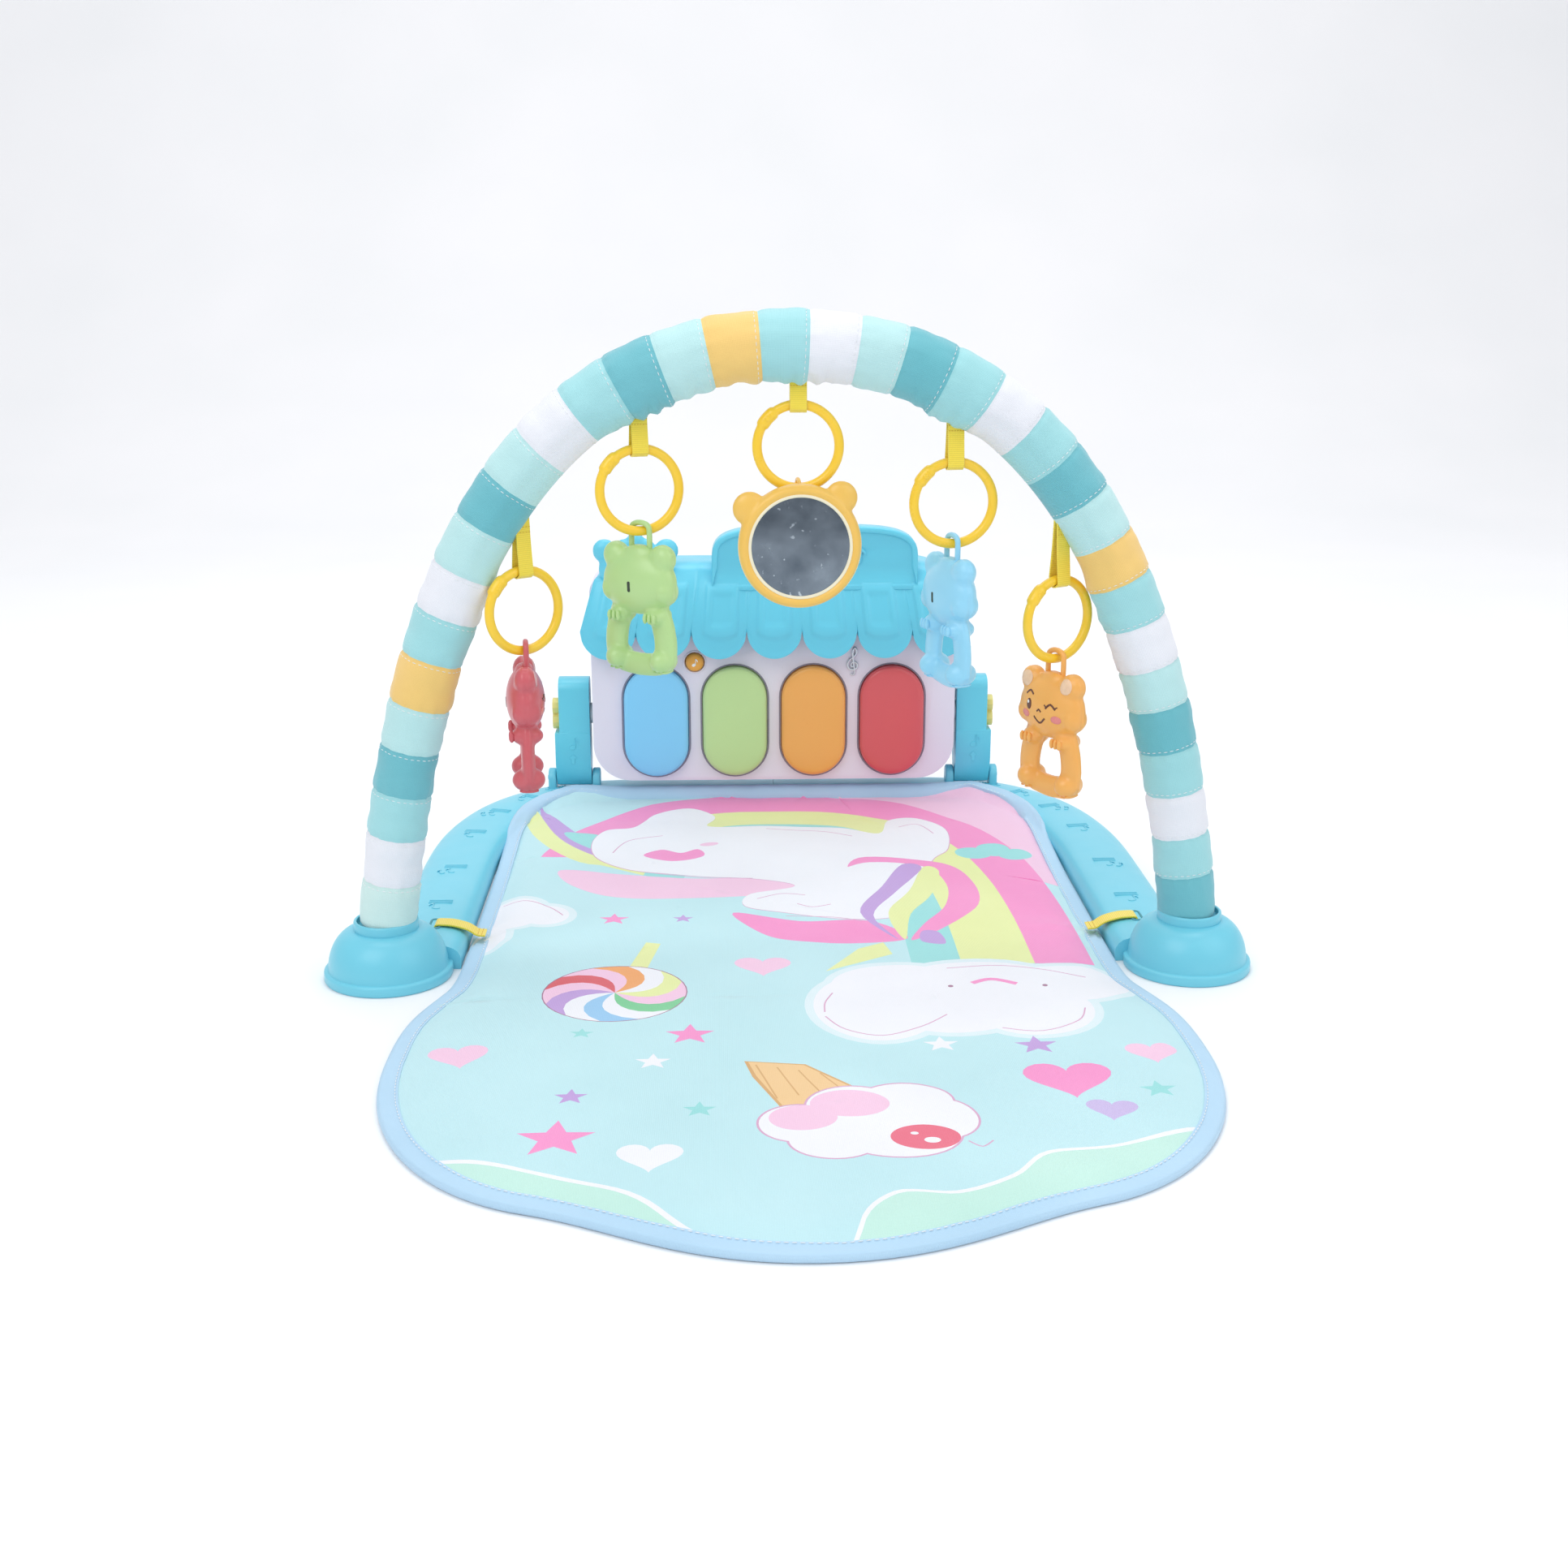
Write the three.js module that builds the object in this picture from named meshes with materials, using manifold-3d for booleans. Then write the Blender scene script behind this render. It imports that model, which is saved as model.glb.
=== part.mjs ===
// Baby's activity gym with a kick piano: a U-shaped floor frame, a padded arch with five hanging
// toys, a kick piano with four keys on two posts, and a padded mat tied to the frame.
// Millimetres, +Z up, +Y from the front of the mat towards the piano, origin under the middle.
import * as THREE from "three";
import { mergeVertices } from "three/addons/utils/BufferGeometryUtils.js";
import Module from "manifold-3d";

// ---- clearances ----
const GAP = 0.3; // left between pieces that touch
const RUN = 0.6; // round anything that turns or slides

// ---- arch ----
const ARCH_FOOT_X = 242; // centre of the tube where it ends inside the dome
const ARCH_FOOT_Z = 10;
const ARCH_TOP_Z = 369; // centre of the tube at the crown
const ARCH_SHOULDER = 150; // how far the crown stays flat
const ARCH_KNEE_IN = 21; // how far each side leans in at knee height
const ARCH_KNEE_Z = 230;
const TUBE_R = 10;
const TUBE_WALL = 1.6;
const SLEEVE_R = 18;
const FERRULE_LENGTH = 70;

// ---- foot domes ----
const DOME_R = 38;
const DOME_HEIGHT = 36;
const COLLAR_R = 18.5;
const DOME_INSET = 1; // dome axis inwards of the tube's end

// ---- floor frame ----
const BAR_WIDTH = 48;
const BAR_HEIGHT = 16;
const BAR_INSET = 18; // bar's centre line inwards of the dome's axis
const BAR_BACK_Y = 360; // centre line of the rear cross bar
const BAR_CORNER_X = 118; // the corner is a rounded square, this far across and back
const BAR_CORNER_Y = 195;
const BAR_CORNER_POWER = 2.6;
const LINK_LENGTH = 70;

// ---- stand ----
const STAND_Y = 355;
const HINGE_Z = 23;
const PIVOT_Z = 74.5;
const POST_TOP_Z = 103;
const POST_WIDTH = 27;
const POST_DEPTH = 24;
const POST_STEP = 3.5; // the upper half is narrower by this much
const EAR_T = 6;
const EAR_R = 7.5;
const AXLE_R = 2.6;
const STUD_R = 3.8;
const STUD_REACH = 12; // room for the stud either side of the case's wall
const WASHER_T = 2.2;
const KNOB_T = 5;
const KNOB_LOBE_R = 6.6;

// ---- piano ----
const PIANO_HALF = 138.5;
const PIANO_BOTTOM_Z = 25.5;
const PIANO_TOP_Z = 184;
const PIANO_FRONT_Y = STAND_Y - 21;
const PIANO_BACK_Y = STAND_Y + 22;
const PIANO_SEAM_Y = STAND_Y + 1;
const PIANO_CORNER_R = 29;
const PIANO_WALL = 2.6;
const KEY_COUNT = 4;
const KEY_SIDE = 18.5; // panel left outside the row of keys
const KEY_SPACING = 11.5;
const KEY_PITCH = (2 * (PIANO_HALF - KEY_SIDE)) / KEY_COUNT;
const KEY_WIDTH = KEY_PITCH - KEY_SPACING;
const KEY_HEIGHT = 85;
const KEY_PROUD = 7;
const KEY_TRAVEL = 3;
const KEY_MARGIN = 4.6; // panel left under the keys
const KEY_FLANGE = 1.2;
const KEY_CENTRE_Z = PIANO_BOTTOM_Z + KEY_MARGIN + KEY_HEIGHT / 2;
const BUTTON_R = 6.9;
const BUTTON_Z = 118.5;
const SWITCH_X = -70;
const SWITCH_Z = 146;
const SWITCH_TRAVEL = 6;
const CELL_R = 7.25; // AA cell
const CELL_LENGTH = 50.5;
const CELLS_Z = 72; // middle cell
const DOOR_Z = [43, 101];
const DOOR_HALF = 31;
const DOOR_T = 2;
const SPEAKER_X = 75;
const SPEAKER_Z = 146;
const SPEAKER_R = 18;
const BOARD_Z = [46, 100];
const BOARD_HALF = PIANO_HALF - 26.5;
const BOARD_T = 1.6;

// ---- roof of the piano ----
const LOBE_COUNT = 7;
const ROOF_EAVE = 6.75; // the awning's edge outside the case
const LOBE_R = (PIANO_HALF + ROOF_EAVE) / LOBE_COUNT;
const BUTTON_X = -2.9 * LOBE_R; // under the notch between two lobes, as the clef is
const CLEF_X = 2.9 * LOBE_R;
const ROOF_BOTTOM_Z = 124;
const ROOF_TOP_Z = 194;
const ROOF_TOP_HALF = PIANO_HALF - 7.5;
const ROOF_DEPTH = 17; // how far the awning stands out of the panel
const SIGN_X = 30.5;
const SIGN_HALF = 77;
const SIGN_BASE_Z = 174;
const SIGN_EAVE_Z = 192;
const SIGN_RISE = 30;
const SIGN_RIM = 5;
const FIGURE_X = -103;
const FIGURE_Z = 192;
const FIGURE_W = 30;
const FIGURE_H = 23;

// ---- rings and toys ----
const RING_R = 23;
const RING_TUBE_R = 2.75;
const CLASP_R = RING_TUBE_R + 1;
const CLASP_LENGTH = 9;
const CLASP_AT = 138; // degrees round the ring from its right-hand side
const LOOP_WIDTH = 9;
const LOOP_T = 0.8;
const LOOP_ROOM = 1.1; // between the ring's tube and the webbing
const EYE_HALF_WIDTH = 5.5; // inside the eye
const EYE_WALL = 2.2;
const EYE_LEGS = 6.2; // below the ring's tube
const TOY_DROP = 81; // from the ring's lowest point to the toy's feet
const TOY_T = 23;
const TOY_HEAD_W = 25;
const TOY_HEAD_H = 19;
const CHIN = 7; // solid part under the bead's chamber
const SHELL_WALL = 3;
const HANDLE_HALF = 21;
const HANDLE_BAR = 9;
const EAR_X = 16;
const EAR_SIZE = 8.5;
const FOOT_SIZE = 7.5;
const BEAD_R = 4;
const MIRROR_R = 35;
const MIRROR_DROP = 31.5; // centre of the mirror below the ring's tube
const MIRROR_GLASS_R = 29;
const MIRROR_BEZEL = 3.5;
const MIRROR_SUNK = 1.2;
const MIRROR_BACK_T = 8;
const MIRROR_EAR_R = 11;
const MIRROR_EAR_REACH = 33;
const MIRROR_EAR_ANGLE = THREE.MathUtils.degToRad(47);
const MIRROR_ROLL = THREE.MathUtils.degToRad(6);
const MIRROR_EYE_HALF = 5;
const MIRROR_EYE_LOW = 5.3;

// ---- mat ----
const MAT_T = 8;
const MAT_EDGE_T = 5; // pressed thinner where it lies on the cross bar
const MAT_FRONT_Y = -342;
const MAT_HALF = 219;
const MAT_SIDE_GAP = 3;
const MAT_BACK_GAP = 2.5; // between the mat's back edge and the hinge ears
const STRAP_Y = 44;
const STRAP_WIDTH = 12;
const STRAP_T = 1.2;
const STRAP_SLOT_IN = 4; // slot inwards of the bar's centre line

// ---- colours and finishes ----
const LOOKS = {
  turquoise: { color: 0x2fc3bd, roughness: 0.38, metalness: 0 },
  white: { color: 0xf1f1ee, roughness: 0.35, metalness: 0 },
  tube: { color: 0xdfe3e4, roughness: 0.4, metalness: 0 },
  sleeve: { color: 0x9fd9d2, roughness: 0.9, metalness: 0 },
  webbing: { color: 0xf2c21f, roughness: 0.6, metalness: 0 },
  yellow: { color: 0xf6c51a, roughness: 0.3, metalness: 0 },
  red: { color: 0xe0333b, roughness: 0.32, metalness: 0 },
  green: { color: 0x6fbf3b, roughness: 0.32, metalness: 0 },
  blue: { color: 0x2f7fd6, roughness: 0.32, metalness: 0 },
  orange: { color: 0xf4871f, roughness: 0.32, metalness: 0 },
  amber: { color: 0xf7a823, roughness: 0.32, metalness: 0 },
  silver: { color: 0xc9ccd0, roughness: 0.25, metalness: 0.7 },
  mirror: { color: 0xe4e9ec, roughness: 0.06, metalness: 1 },
  board: { color: 0x2c7a46, roughness: 0.5, metalness: 0 },
  rubber: { color: 0x4a4d50, roughness: 0.8, metalness: 0 },
  cell: { color: 0x3a3d41, roughness: 0.4, metalness: 0.3 },
  mat: { color: 0x8fd8dc, roughness: 0.95, metalness: 0 },
};

const wasm = await Module();
wasm.setup();

const gym = new THREE.Group();
const model = new THREE.Group();
gym.add(model);

// ---- small tools ----

function solidOf(geometry) {
  const bare = geometry.clone();
  bare.deleteAttribute("normal");
  bare.deleteAttribute("uv");
  const merged = mergeVertices(bare, 1e-3);
  return new wasm.Manifold(
    new wasm.Mesh({
      numProp: 3,
      vertProperties: merged.attributes.position.array,
      triVerts: new Uint32Array(merged.index.array),
    }),
  );
}

function geometryOf(solid) {
  const { vertProperties, triVerts } = solid.getMesh();
  const geometry = new THREE.BufferGeometry();
  geometry.setAttribute("position", new THREE.BufferAttribute(new Float32Array(vertProperties), 3));
  geometry.setIndex(new THREE.BufferAttribute(new Uint32Array(triVerts), 1));
  geometry.computeVertexNormals();
  return geometry;
}

function joined(...solids) {
  return solids.reduce((sum, next) => sum.add(next));
}

function cutBy(solid, ...tools) {
  return tools.reduce((left, tool) => left.subtract(tool), solid);
}

function add(name, shape, look, parent = model) {
  const geometry = shape.isBufferGeometry ? shape : geometryOf(shape);
  const mesh = new THREE.Mesh(geometry, new THREE.MeshStandardMaterial(LOOKS[look]));
  mesh.name = name;
  parent.add(mesh);
  return mesh;
}

// A shape drawn in X and Z, from y0 to y1.
function prismY(shape, y0, y1, segments = 5) {
  const options = { depth: y1 - y0, bevelEnabled: false, curveSegments: segments };
  const geometry = new THREE.ExtrudeGeometry(shape, options);
  geometry.rotateX(Math.PI / 2);
  geometry.translate(0, y1, 0);
  return solidOf(geometry);
}

// A shape drawn in Y and Z, from x0 to x1.
function prismX(shape, x0, x1, segments = 5) {
  const options = { depth: x1 - x0, bevelEnabled: false, curveSegments: segments };
  const geometry = new THREE.ExtrudeGeometry(shape, options);
  const turn = new THREE.Matrix4().makeBasis(
    new THREE.Vector3(0, 1, 0),
    new THREE.Vector3(0, 0, 1),
    new THREE.Vector3(1, 0, 0),
  );
  geometry.applyMatrix4(turn);
  geometry.translate(x0, 0, 0);
  return solidOf(geometry);
}

// A shape drawn in X and Y, from z0 to z1.
function prismZ(shape, z0, z1, segments = 5) {
  const options = { depth: z1 - z0, bevelEnabled: false, curveSegments: segments };
  const geometry = new THREE.ExtrudeGeometry(shape, options);
  geometry.translate(0, 0, z0);
  return solidOf(geometry);
}

// A rounded rectangle with one radius for its lower and one for its upper corners.
function roundedRect(centreA, lowB, highB, halfWidth, lowR, highR = lowR) {
  const shape = new THREE.Shape();
  const left = centreA - halfWidth;
  const right = centreA + halfWidth;
  shape.moveTo(left + lowR, lowB);
  shape.lineTo(right - lowR, lowB);
  shape.absarc(right - lowR, lowB + lowR, lowR, -Math.PI / 2, 0, false);
  shape.lineTo(right, highB - highR);
  shape.absarc(right - highR, highB - highR, highR, 0, Math.PI / 2, false);
  shape.lineTo(left + highR, highB);
  shape.absarc(left + highR, highB - highR, highR, Math.PI / 2, Math.PI, false);
  shape.lineTo(left, lowB + lowR);
  shape.absarc(left + lowR, lowB + lowR, lowR, Math.PI, Math.PI * 1.5, false);
  return shape;
}

function disc(centreA, centreB, radiusA, radiusB = radiusA) {
  const shape = new THREE.Shape();
  shape.absellipse(centreA, centreB, radiusA, radiusB, 0, Math.PI * 2, false, 0);
  return shape;
}

function polygon(points) {
  return new THREE.Shape(points.map(([a, b]) => new THREE.Vector2(a, b)));
}

function mirroredX(solid) {
  return solid.mirror([1, 0, 0]);
}

// ---- arch: two tubes joined by a ferrule, inside one padded sleeve ----

class ArchCurve extends THREE.Curve {
  // from the left foot (t = 0) over the crown to the right foot (t = 1)
  getPoint(t) {
    const side = t < 0.5 ? -1 : 1;
    const curve = new THREE.CubicBezierCurve(
      new THREE.Vector2(0, ARCH_TOP_Z),
      new THREE.Vector2(ARCH_SHOULDER, ARCH_TOP_Z),
      new THREE.Vector2(ARCH_FOOT_X - ARCH_KNEE_IN, ARCH_KNEE_Z),
      new THREE.Vector2(ARCH_FOOT_X, ARCH_FOOT_Z),
    );
    const flat = curve.getPoint(Math.abs(2 * t - 1));
    return new THREE.Vector3(side * flat.x, 0, flat.y);
  }
}

class Stretch extends THREE.Curve {
  // the part of a curve between two shares of its length
  constructor(whole, from, to) {
    super();
    this.whole = whole;
    this.from = from;
    this.to = to;
  }
  getPoint(t) {
    return this.whole.getPointAt(this.from + (this.to - this.from) * t);
  }
}

const arch = new ArchCurve();
arch.arcLengthDivisions = 400;
const archLength = arch.getLength();

function archShareAtHeight(z) {
  let low = 0;
  let high = 0.5;
  for (let i = 0; i < 40; i += 1) {
    const middle = (low + high) / 2;
    if (arch.getPointAt(middle).z < z) low = middle;
    else high = middle;
  }
  return low;
}

function archHeightAtX(x) {
  let low = 0.5;
  let high = 1;
  for (let i = 0; i < 40; i += 1) {
    const middle = (low + high) / 2;
    if (arch.getPointAt(middle).x < Math.abs(x)) low = middle;
    else high = middle;
  }
  return arch.getPointAt(low).z;
}

function rod(curve, outerR, innerR, sides, steps) {
  const shape = new THREE.Shape();
  const hole = new THREE.Path();
  for (let i = 0; i < sides; i += 1) {
    const angle = ((i + 0.5) / sides) * Math.PI * 2;
    const [c, s] = [Math.cos(angle), Math.sin(angle)];
    if (i === 0) shape.moveTo(outerR * c, outerR * s);
    else shape.lineTo(outerR * c, outerR * s);
    if (i === 0) hole.moveTo(innerR * c, innerR * s);
    else hole.lineTo(innerR * c, innerR * s);
  }
  if (innerR > 0) shape.holes.push(hole);
  return new THREE.ExtrudeGeometry(shape, { extrudePath: curve, steps });
}

function buildArch() {
  const split = 0.5 * (GAP / archLength);
  const ferruleShare = FERRULE_LENGTH / 2 / archLength;
  const sleeveStart = archShareAtHeight(DOME_HEIGHT + GAP + SLEEVE_R * 0.12);
  const innerTube = TUBE_R - TUBE_WALL;
  const sides = { tube: 8, sleeve: 10 };
  const bore = (TUBE_R + 4 * GAP) / Math.cos(Math.PI / sides.sleeve);
  const left = new Stretch(arch, 0, 0.5 - split);
  const right = new Stretch(arch, 0.5 + split, 1);
  add("arch_tube_left", rod(left, TUBE_R, innerTube, sides.tube, 15), "tube");
  add("arch_tube_right", rod(right, TUBE_R, innerTube, sides.tube, 15), "tube");
  const ferruleR = (innerTube - 2 * GAP) * Math.cos(Math.PI / sides.tube);
  const middle = new Stretch(arch, 0.5 - ferruleShare, 0.5 + ferruleShare);
  add("arch_ferrule", rod(middle, ferruleR, 0, sides.tube, 6), "white");
  const sleeve = new Stretch(arch, sleeveStart, 1 - sleeveStart);
  add("arch_sleeve", rod(sleeve, SLEEVE_R, bore, sides.sleeve, 32), "sleeve");
  return solidOf(rod(new Stretch(arch, 0.03, 0.97), SLEEVE_R + 2 * GAP, 0, sides.sleeve, 40));
}

// ---- foot domes ----

const domeX = ARCH_FOOT_X - DOME_INSET;

function domeProfile(grow) {
  const points = [
    [0, 0],
    [DOME_R + grow, 0],
    [DOME_R + grow, 5 + grow],
    [DOME_R - 3 + grow, 7 + grow],
    [DOME_R - 6 + grow, 17],
    [DOME_R - 13 + grow, 27],
    [COLLAR_R + grow, 30],
    [COLLAR_R + grow, DOME_HEIGHT + grow],
    [0, DOME_HEIGHT + grow],
  ];
  return points.map(([r, z]) => new THREE.Vector2(r, z));
}

function domeSolid(grow) {
  const turned = new THREE.LatheGeometry(domeProfile(grow), 24);
  turned.rotateX(Math.PI / 2);
  return solidOf(turned).translate([domeX, 0, 0]);
}

function buildDomes() {
  const foot = arch.getPointAt(1);
  const above = arch.getPointAt(1 - 0.02);
  const lean = Math.atan2(foot.x - above.x, above.z - foot.z);
  const boreR = (TUBE_R + 2 * GAP) / Math.cos(Math.PI / 16);
  const bore = new THREE.CylinderGeometry(boreR, boreR, 2 * DOME_HEIGHT, 16);
  bore.rotateX(Math.PI / 2);
  bore.translate(0, 0, DOME_HEIGHT - 2 * GAP);
  bore.rotateY(-lean);
  bore.translate(foot.x, 0, foot.z);
  const dome = domeSolid(0).subtract(solidOf(bore));
  add("foot_dome_right", dome, "turquoise");
  add("foot_dome_left", mirroredX(dome), "turquoise");
}

// ---- floor frame: two bars that meet behind the mat, with a link inside the joint ----

const barX = domeX - BAR_INSET;
const earInnerX = PIANO_HALF - 2.6;
const postInnerX = PIANO_HALF + 2 * GAP + WASHER_T + GAP;
const postOuterX = postInnerX + POST_WIDTH;

function barSweep(grow, startY) {
  const path = new THREE.CurvePath();
  const turnX = barX - BAR_CORNER_X;
  const turnY = BAR_BACK_Y - BAR_CORNER_Y;
  const corner = [];
  const cornerSteps = 10;
  for (let i = 0; i <= cornerSteps; i += 1) {
    const angle = (i / cornerSteps) * (Math.PI / 2);
    const across = Math.cos(angle) ** (2 / BAR_CORNER_POWER);
    const back = Math.sin(angle) ** (2 / BAR_CORNER_POWER);
    corner.push([turnX + BAR_CORNER_X * across, turnY + BAR_CORNER_Y * back]);
  }
  const stops = [[barX, startY], ...corner, [GAP / 2 - grow, BAR_BACK_Y]];
  for (let i = 1; i < stops.length; i += 1) {
    const a = new THREE.Vector3(...stops[i - 1], 0);
    const b = new THREE.Vector3(...stops[i], 0);
    path.add(new THREE.LineCurve3(a, b));
  }
  const half = BAR_WIDTH / 2 + grow;
  const high = BAR_HEIGHT + grow;
  const edge = BAR_HEIGHT * 0.45 + grow;
  const side = [
    [half, edge],
    [half - 3, high - 4],
    [half - 10, high - 1.2],
    [half - 19, high],
  ];
  const outline = [[half, 0], ...side, ...side.map(([u, v]) => [-u, v]).reverse(), [-half, 0]];
  const section = polygon(outline.map(([u, v]) => [-v, u]));
  return solidOf(new THREE.ExtrudeGeometry(section, { extrudePath: path, steps: 26 }));
}

function buildBase() {
  const linkRoom = prismX(
    roundedRect(BAR_BACK_Y, 4 - GAP, 12 + GAP, 12 + GAP, 2),
    -GAP,
    LINK_LENGTH / 2 + GAP,
    1,
  );
  const earShape = polygon([
    [STAND_Y - EAR_R, 8],
    [STAND_Y + EAR_R, 8],
    [STAND_Y + EAR_R, HINGE_Z],
    [STAND_Y + EAR_R * 0.7, HINGE_Z + EAR_R * 0.7],
    [STAND_Y, HINGE_Z + EAR_R],
    [STAND_Y - EAR_R * 0.7, HINGE_Z + EAR_R * 0.7],
    [STAND_Y - EAR_R, HINGE_Z],
  ]);
  const outerEarX = postOuterX + RUN;
  const innerEar = prismX(earShape, postInnerX - RUN - EAR_T, postInnerX - RUN);
  const outerEar = prismX(earShape, outerEarX, outerEarX + EAR_T);
  const axleHole = prismX(
    disc(STAND_Y, HINGE_Z, AXLE_R + RUN),
    postInnerX - RUN - EAR_T - 1,
    outerEarX + EAR_T + 1,
    8,
  );
  const slot = prismY(
    roundedRect(barX - STRAP_SLOT_IN, BAR_HEIGHT - 8, BAR_HEIGHT + 4, 2.5, 1),
    STRAP_Y - STRAP_WIDTH / 2 - 1,
    STRAP_Y + STRAP_WIDTH / 2 + 1,
    1,
  );
  const leg = cutBy(
    joined(barSweep(0, DOME_R * 0.2), innerEar, outerEar),
    domeSolid(GAP),
    linkRoom,
    axleHole,
    slot,
  );
  add("base_leg_right", leg, "turquoise");
  add("base_leg_left", mirroredX(leg), "turquoise");
  const link = prismX(roundedRect(BAR_BACK_Y, 4, 12, 12, 2), -LINK_LENGTH / 2, LINK_LENGTH / 2, 1);
  add("base_link", link, "white");
}

// ---- posts, washers and knobs ----

function buildStand() {
  const halfDepth = POST_DEPTH / 2;
  const stepZ = PIVOT_Z - KNOB_LOBE_R * 1.85 - 2 * RUN; // the knob turns above this step
  const lower = polygon([
    [STAND_Y - 6.2, HINGE_Z],
    [STAND_Y - 4.4, HINGE_Z - 4.4],
    [STAND_Y, HINGE_Z - 6.2],
    [STAND_Y + 4.4, HINGE_Z - 4.4],
    [STAND_Y + 6.2, HINGE_Z],
    [STAND_Y + halfDepth, HINGE_Z + 14],
    [STAND_Y + halfDepth, stepZ],
    [STAND_Y - halfDepth, stepZ],
    [STAND_Y - halfDepth, HINGE_Z + 14],
  ]);
  const upper = roundedRect(STAND_Y, stepZ - 5, POST_TOP_Z, halfDepth - 0.5, 1, 9);
  const studHole = prismX(
    disc(STAND_Y, PIVOT_Z, STUD_R + RUN),
    postInnerX - 1,
    postOuterX + 1,
    8,
  );
  const axle = prismX(
    disc(STAND_Y, HINGE_Z, AXLE_R),
    postInnerX - RUN - EAR_T + 0.5,
    postOuterX + RUN + EAR_T - 0.5,
    6,
  );
  const body = joined(
    prismX(lower, postInnerX, postOuterX),
    prismX(upper, postInnerX, postOuterX - POST_STEP, 3),
    axle,
  );
  const post = body.subtract(studHole);
  const washer = prismX(disc(STAND_Y, PIVOT_Z, 8), postInnerX - GAP - WASHER_T, postInnerX - GAP, 8);
  const washerHole = prismX(
    disc(STAND_Y, PIVOT_Z, STUD_R + RUN),
    postInnerX - WASHER_T - 2,
    postInnerX + 1,
    8,
  );
  const knobX = postOuterX - POST_STEP + GAP;
  const lobe = (up) => disc(STAND_Y, PIVOT_Z + up * KNOB_LOBE_R * 0.85, KNOB_LOBE_R);
  const knob = joined(
    prismX(lobe(1), knobX, knobX + KNOB_T),
    prismX(lobe(-1), knobX, knobX + KNOB_T),
    prismX(disc(STAND_Y, PIVOT_Z, STUD_R), PIANO_HALF - 5, knobX + 1, 6),
  );
  const washerRing = washer.subtract(washerHole);
  add("upright_right", post, "turquoise");
  add("upright_left", mirroredX(post), "turquoise");
  add("pivot_washer_right", washerRing, "white");
  add("pivot_washer_left", mirroredX(washerRing), "white");
  add("knob_right", knob, "yellow");
  add("knob_left", mirroredX(knob), "yellow");
}

// ---- kick piano ----

const keyX = (i) => (i - (KEY_COUNT - 1) / 2) * KEY_PITCH;
const studNotch = (side) =>
  prismX(
    disc(STAND_Y, PIVOT_Z, STUD_R + RUN),
    side * PIANO_HALF - STUD_REACH,
    side * PIANO_HALF + STUD_REACH,
    8,
  );

function caseOutline(inset) {
  return roundedRect(
    0,
    PIANO_BOTTOM_Z + inset,
    PIANO_TOP_Z - inset,
    PIANO_HALF - inset,
    PIANO_CORNER_R - inset,
    12 - inset,
  );
}

function keyOutline(index, grow) {
  const half = KEY_WIDTH / 2 + grow;
  const low = KEY_CENTRE_Z - KEY_HEIGHT / 2 - grow;
  const high = KEY_CENTRE_Z + KEY_HEIGHT / 2 + grow;
  return roundedRect(keyX(index), low, high, half, half - 0.5);
}

function buildCase() {
  const inner = caseOutline(PIANO_WALL);
  const keyHoles = [];
  for (let i = 0; i < KEY_COUNT; i += 1) {
    keyHoles.push(prismY(keyOutline(i, RUN), PIANO_FRONT_Y - 1, PIANO_FRONT_Y + PIANO_WALL + 1, 4));
  }
  const front = cutBy(
    prismY(caseOutline(0), PIANO_FRONT_Y, PIANO_SEAM_Y - GAP / 2),
    prismY(inner, PIANO_FRONT_Y + PIANO_WALL, PIANO_BACK_Y),
    ...keyHoles,
    prismY(disc(BUTTON_X, BUTTON_Z, BUTTON_R + RUN), PIANO_FRONT_Y - 1, PIANO_FRONT_Y + 5, 8),
    studNotch(1),
    studNotch(-1),
  );
  add("piano_front", front, "white");
  const doorRoom = roundedRect(0, DOOR_Z[0] - GAP, DOOR_Z[1] + GAP, DOOR_HALF + GAP, 4);
  const back = cutBy(
    prismY(caseOutline(0), PIANO_SEAM_Y + GAP / 2, PIANO_BACK_Y),
    prismY(inner, PIANO_FRONT_Y, PIANO_BACK_Y - PIANO_WALL),
    prismY(doorRoom, PIANO_BACK_Y - 5, PIANO_BACK_Y + 1, 2),
    prismY(
      roundedRect(SWITCH_X + SWITCH_TRAVEL / 2, SWITCH_Z - 3.5, SWITCH_Z + 3.5, 8.6, 1),
      PIANO_BACK_Y - 5,
      PIANO_BACK_Y + 1,
      1,
    ),
    studNotch(1),
    studNotch(-1),
  );
  add("piano_back", back, "white");
  const door = prismY(roundedRect(0, ...DOOR_Z, DOOR_HALF, 4), PIANO_BACK_Y - DOOR_T, PIANO_BACK_Y, 2);
  add("battery_door", door, "white");
}

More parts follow.
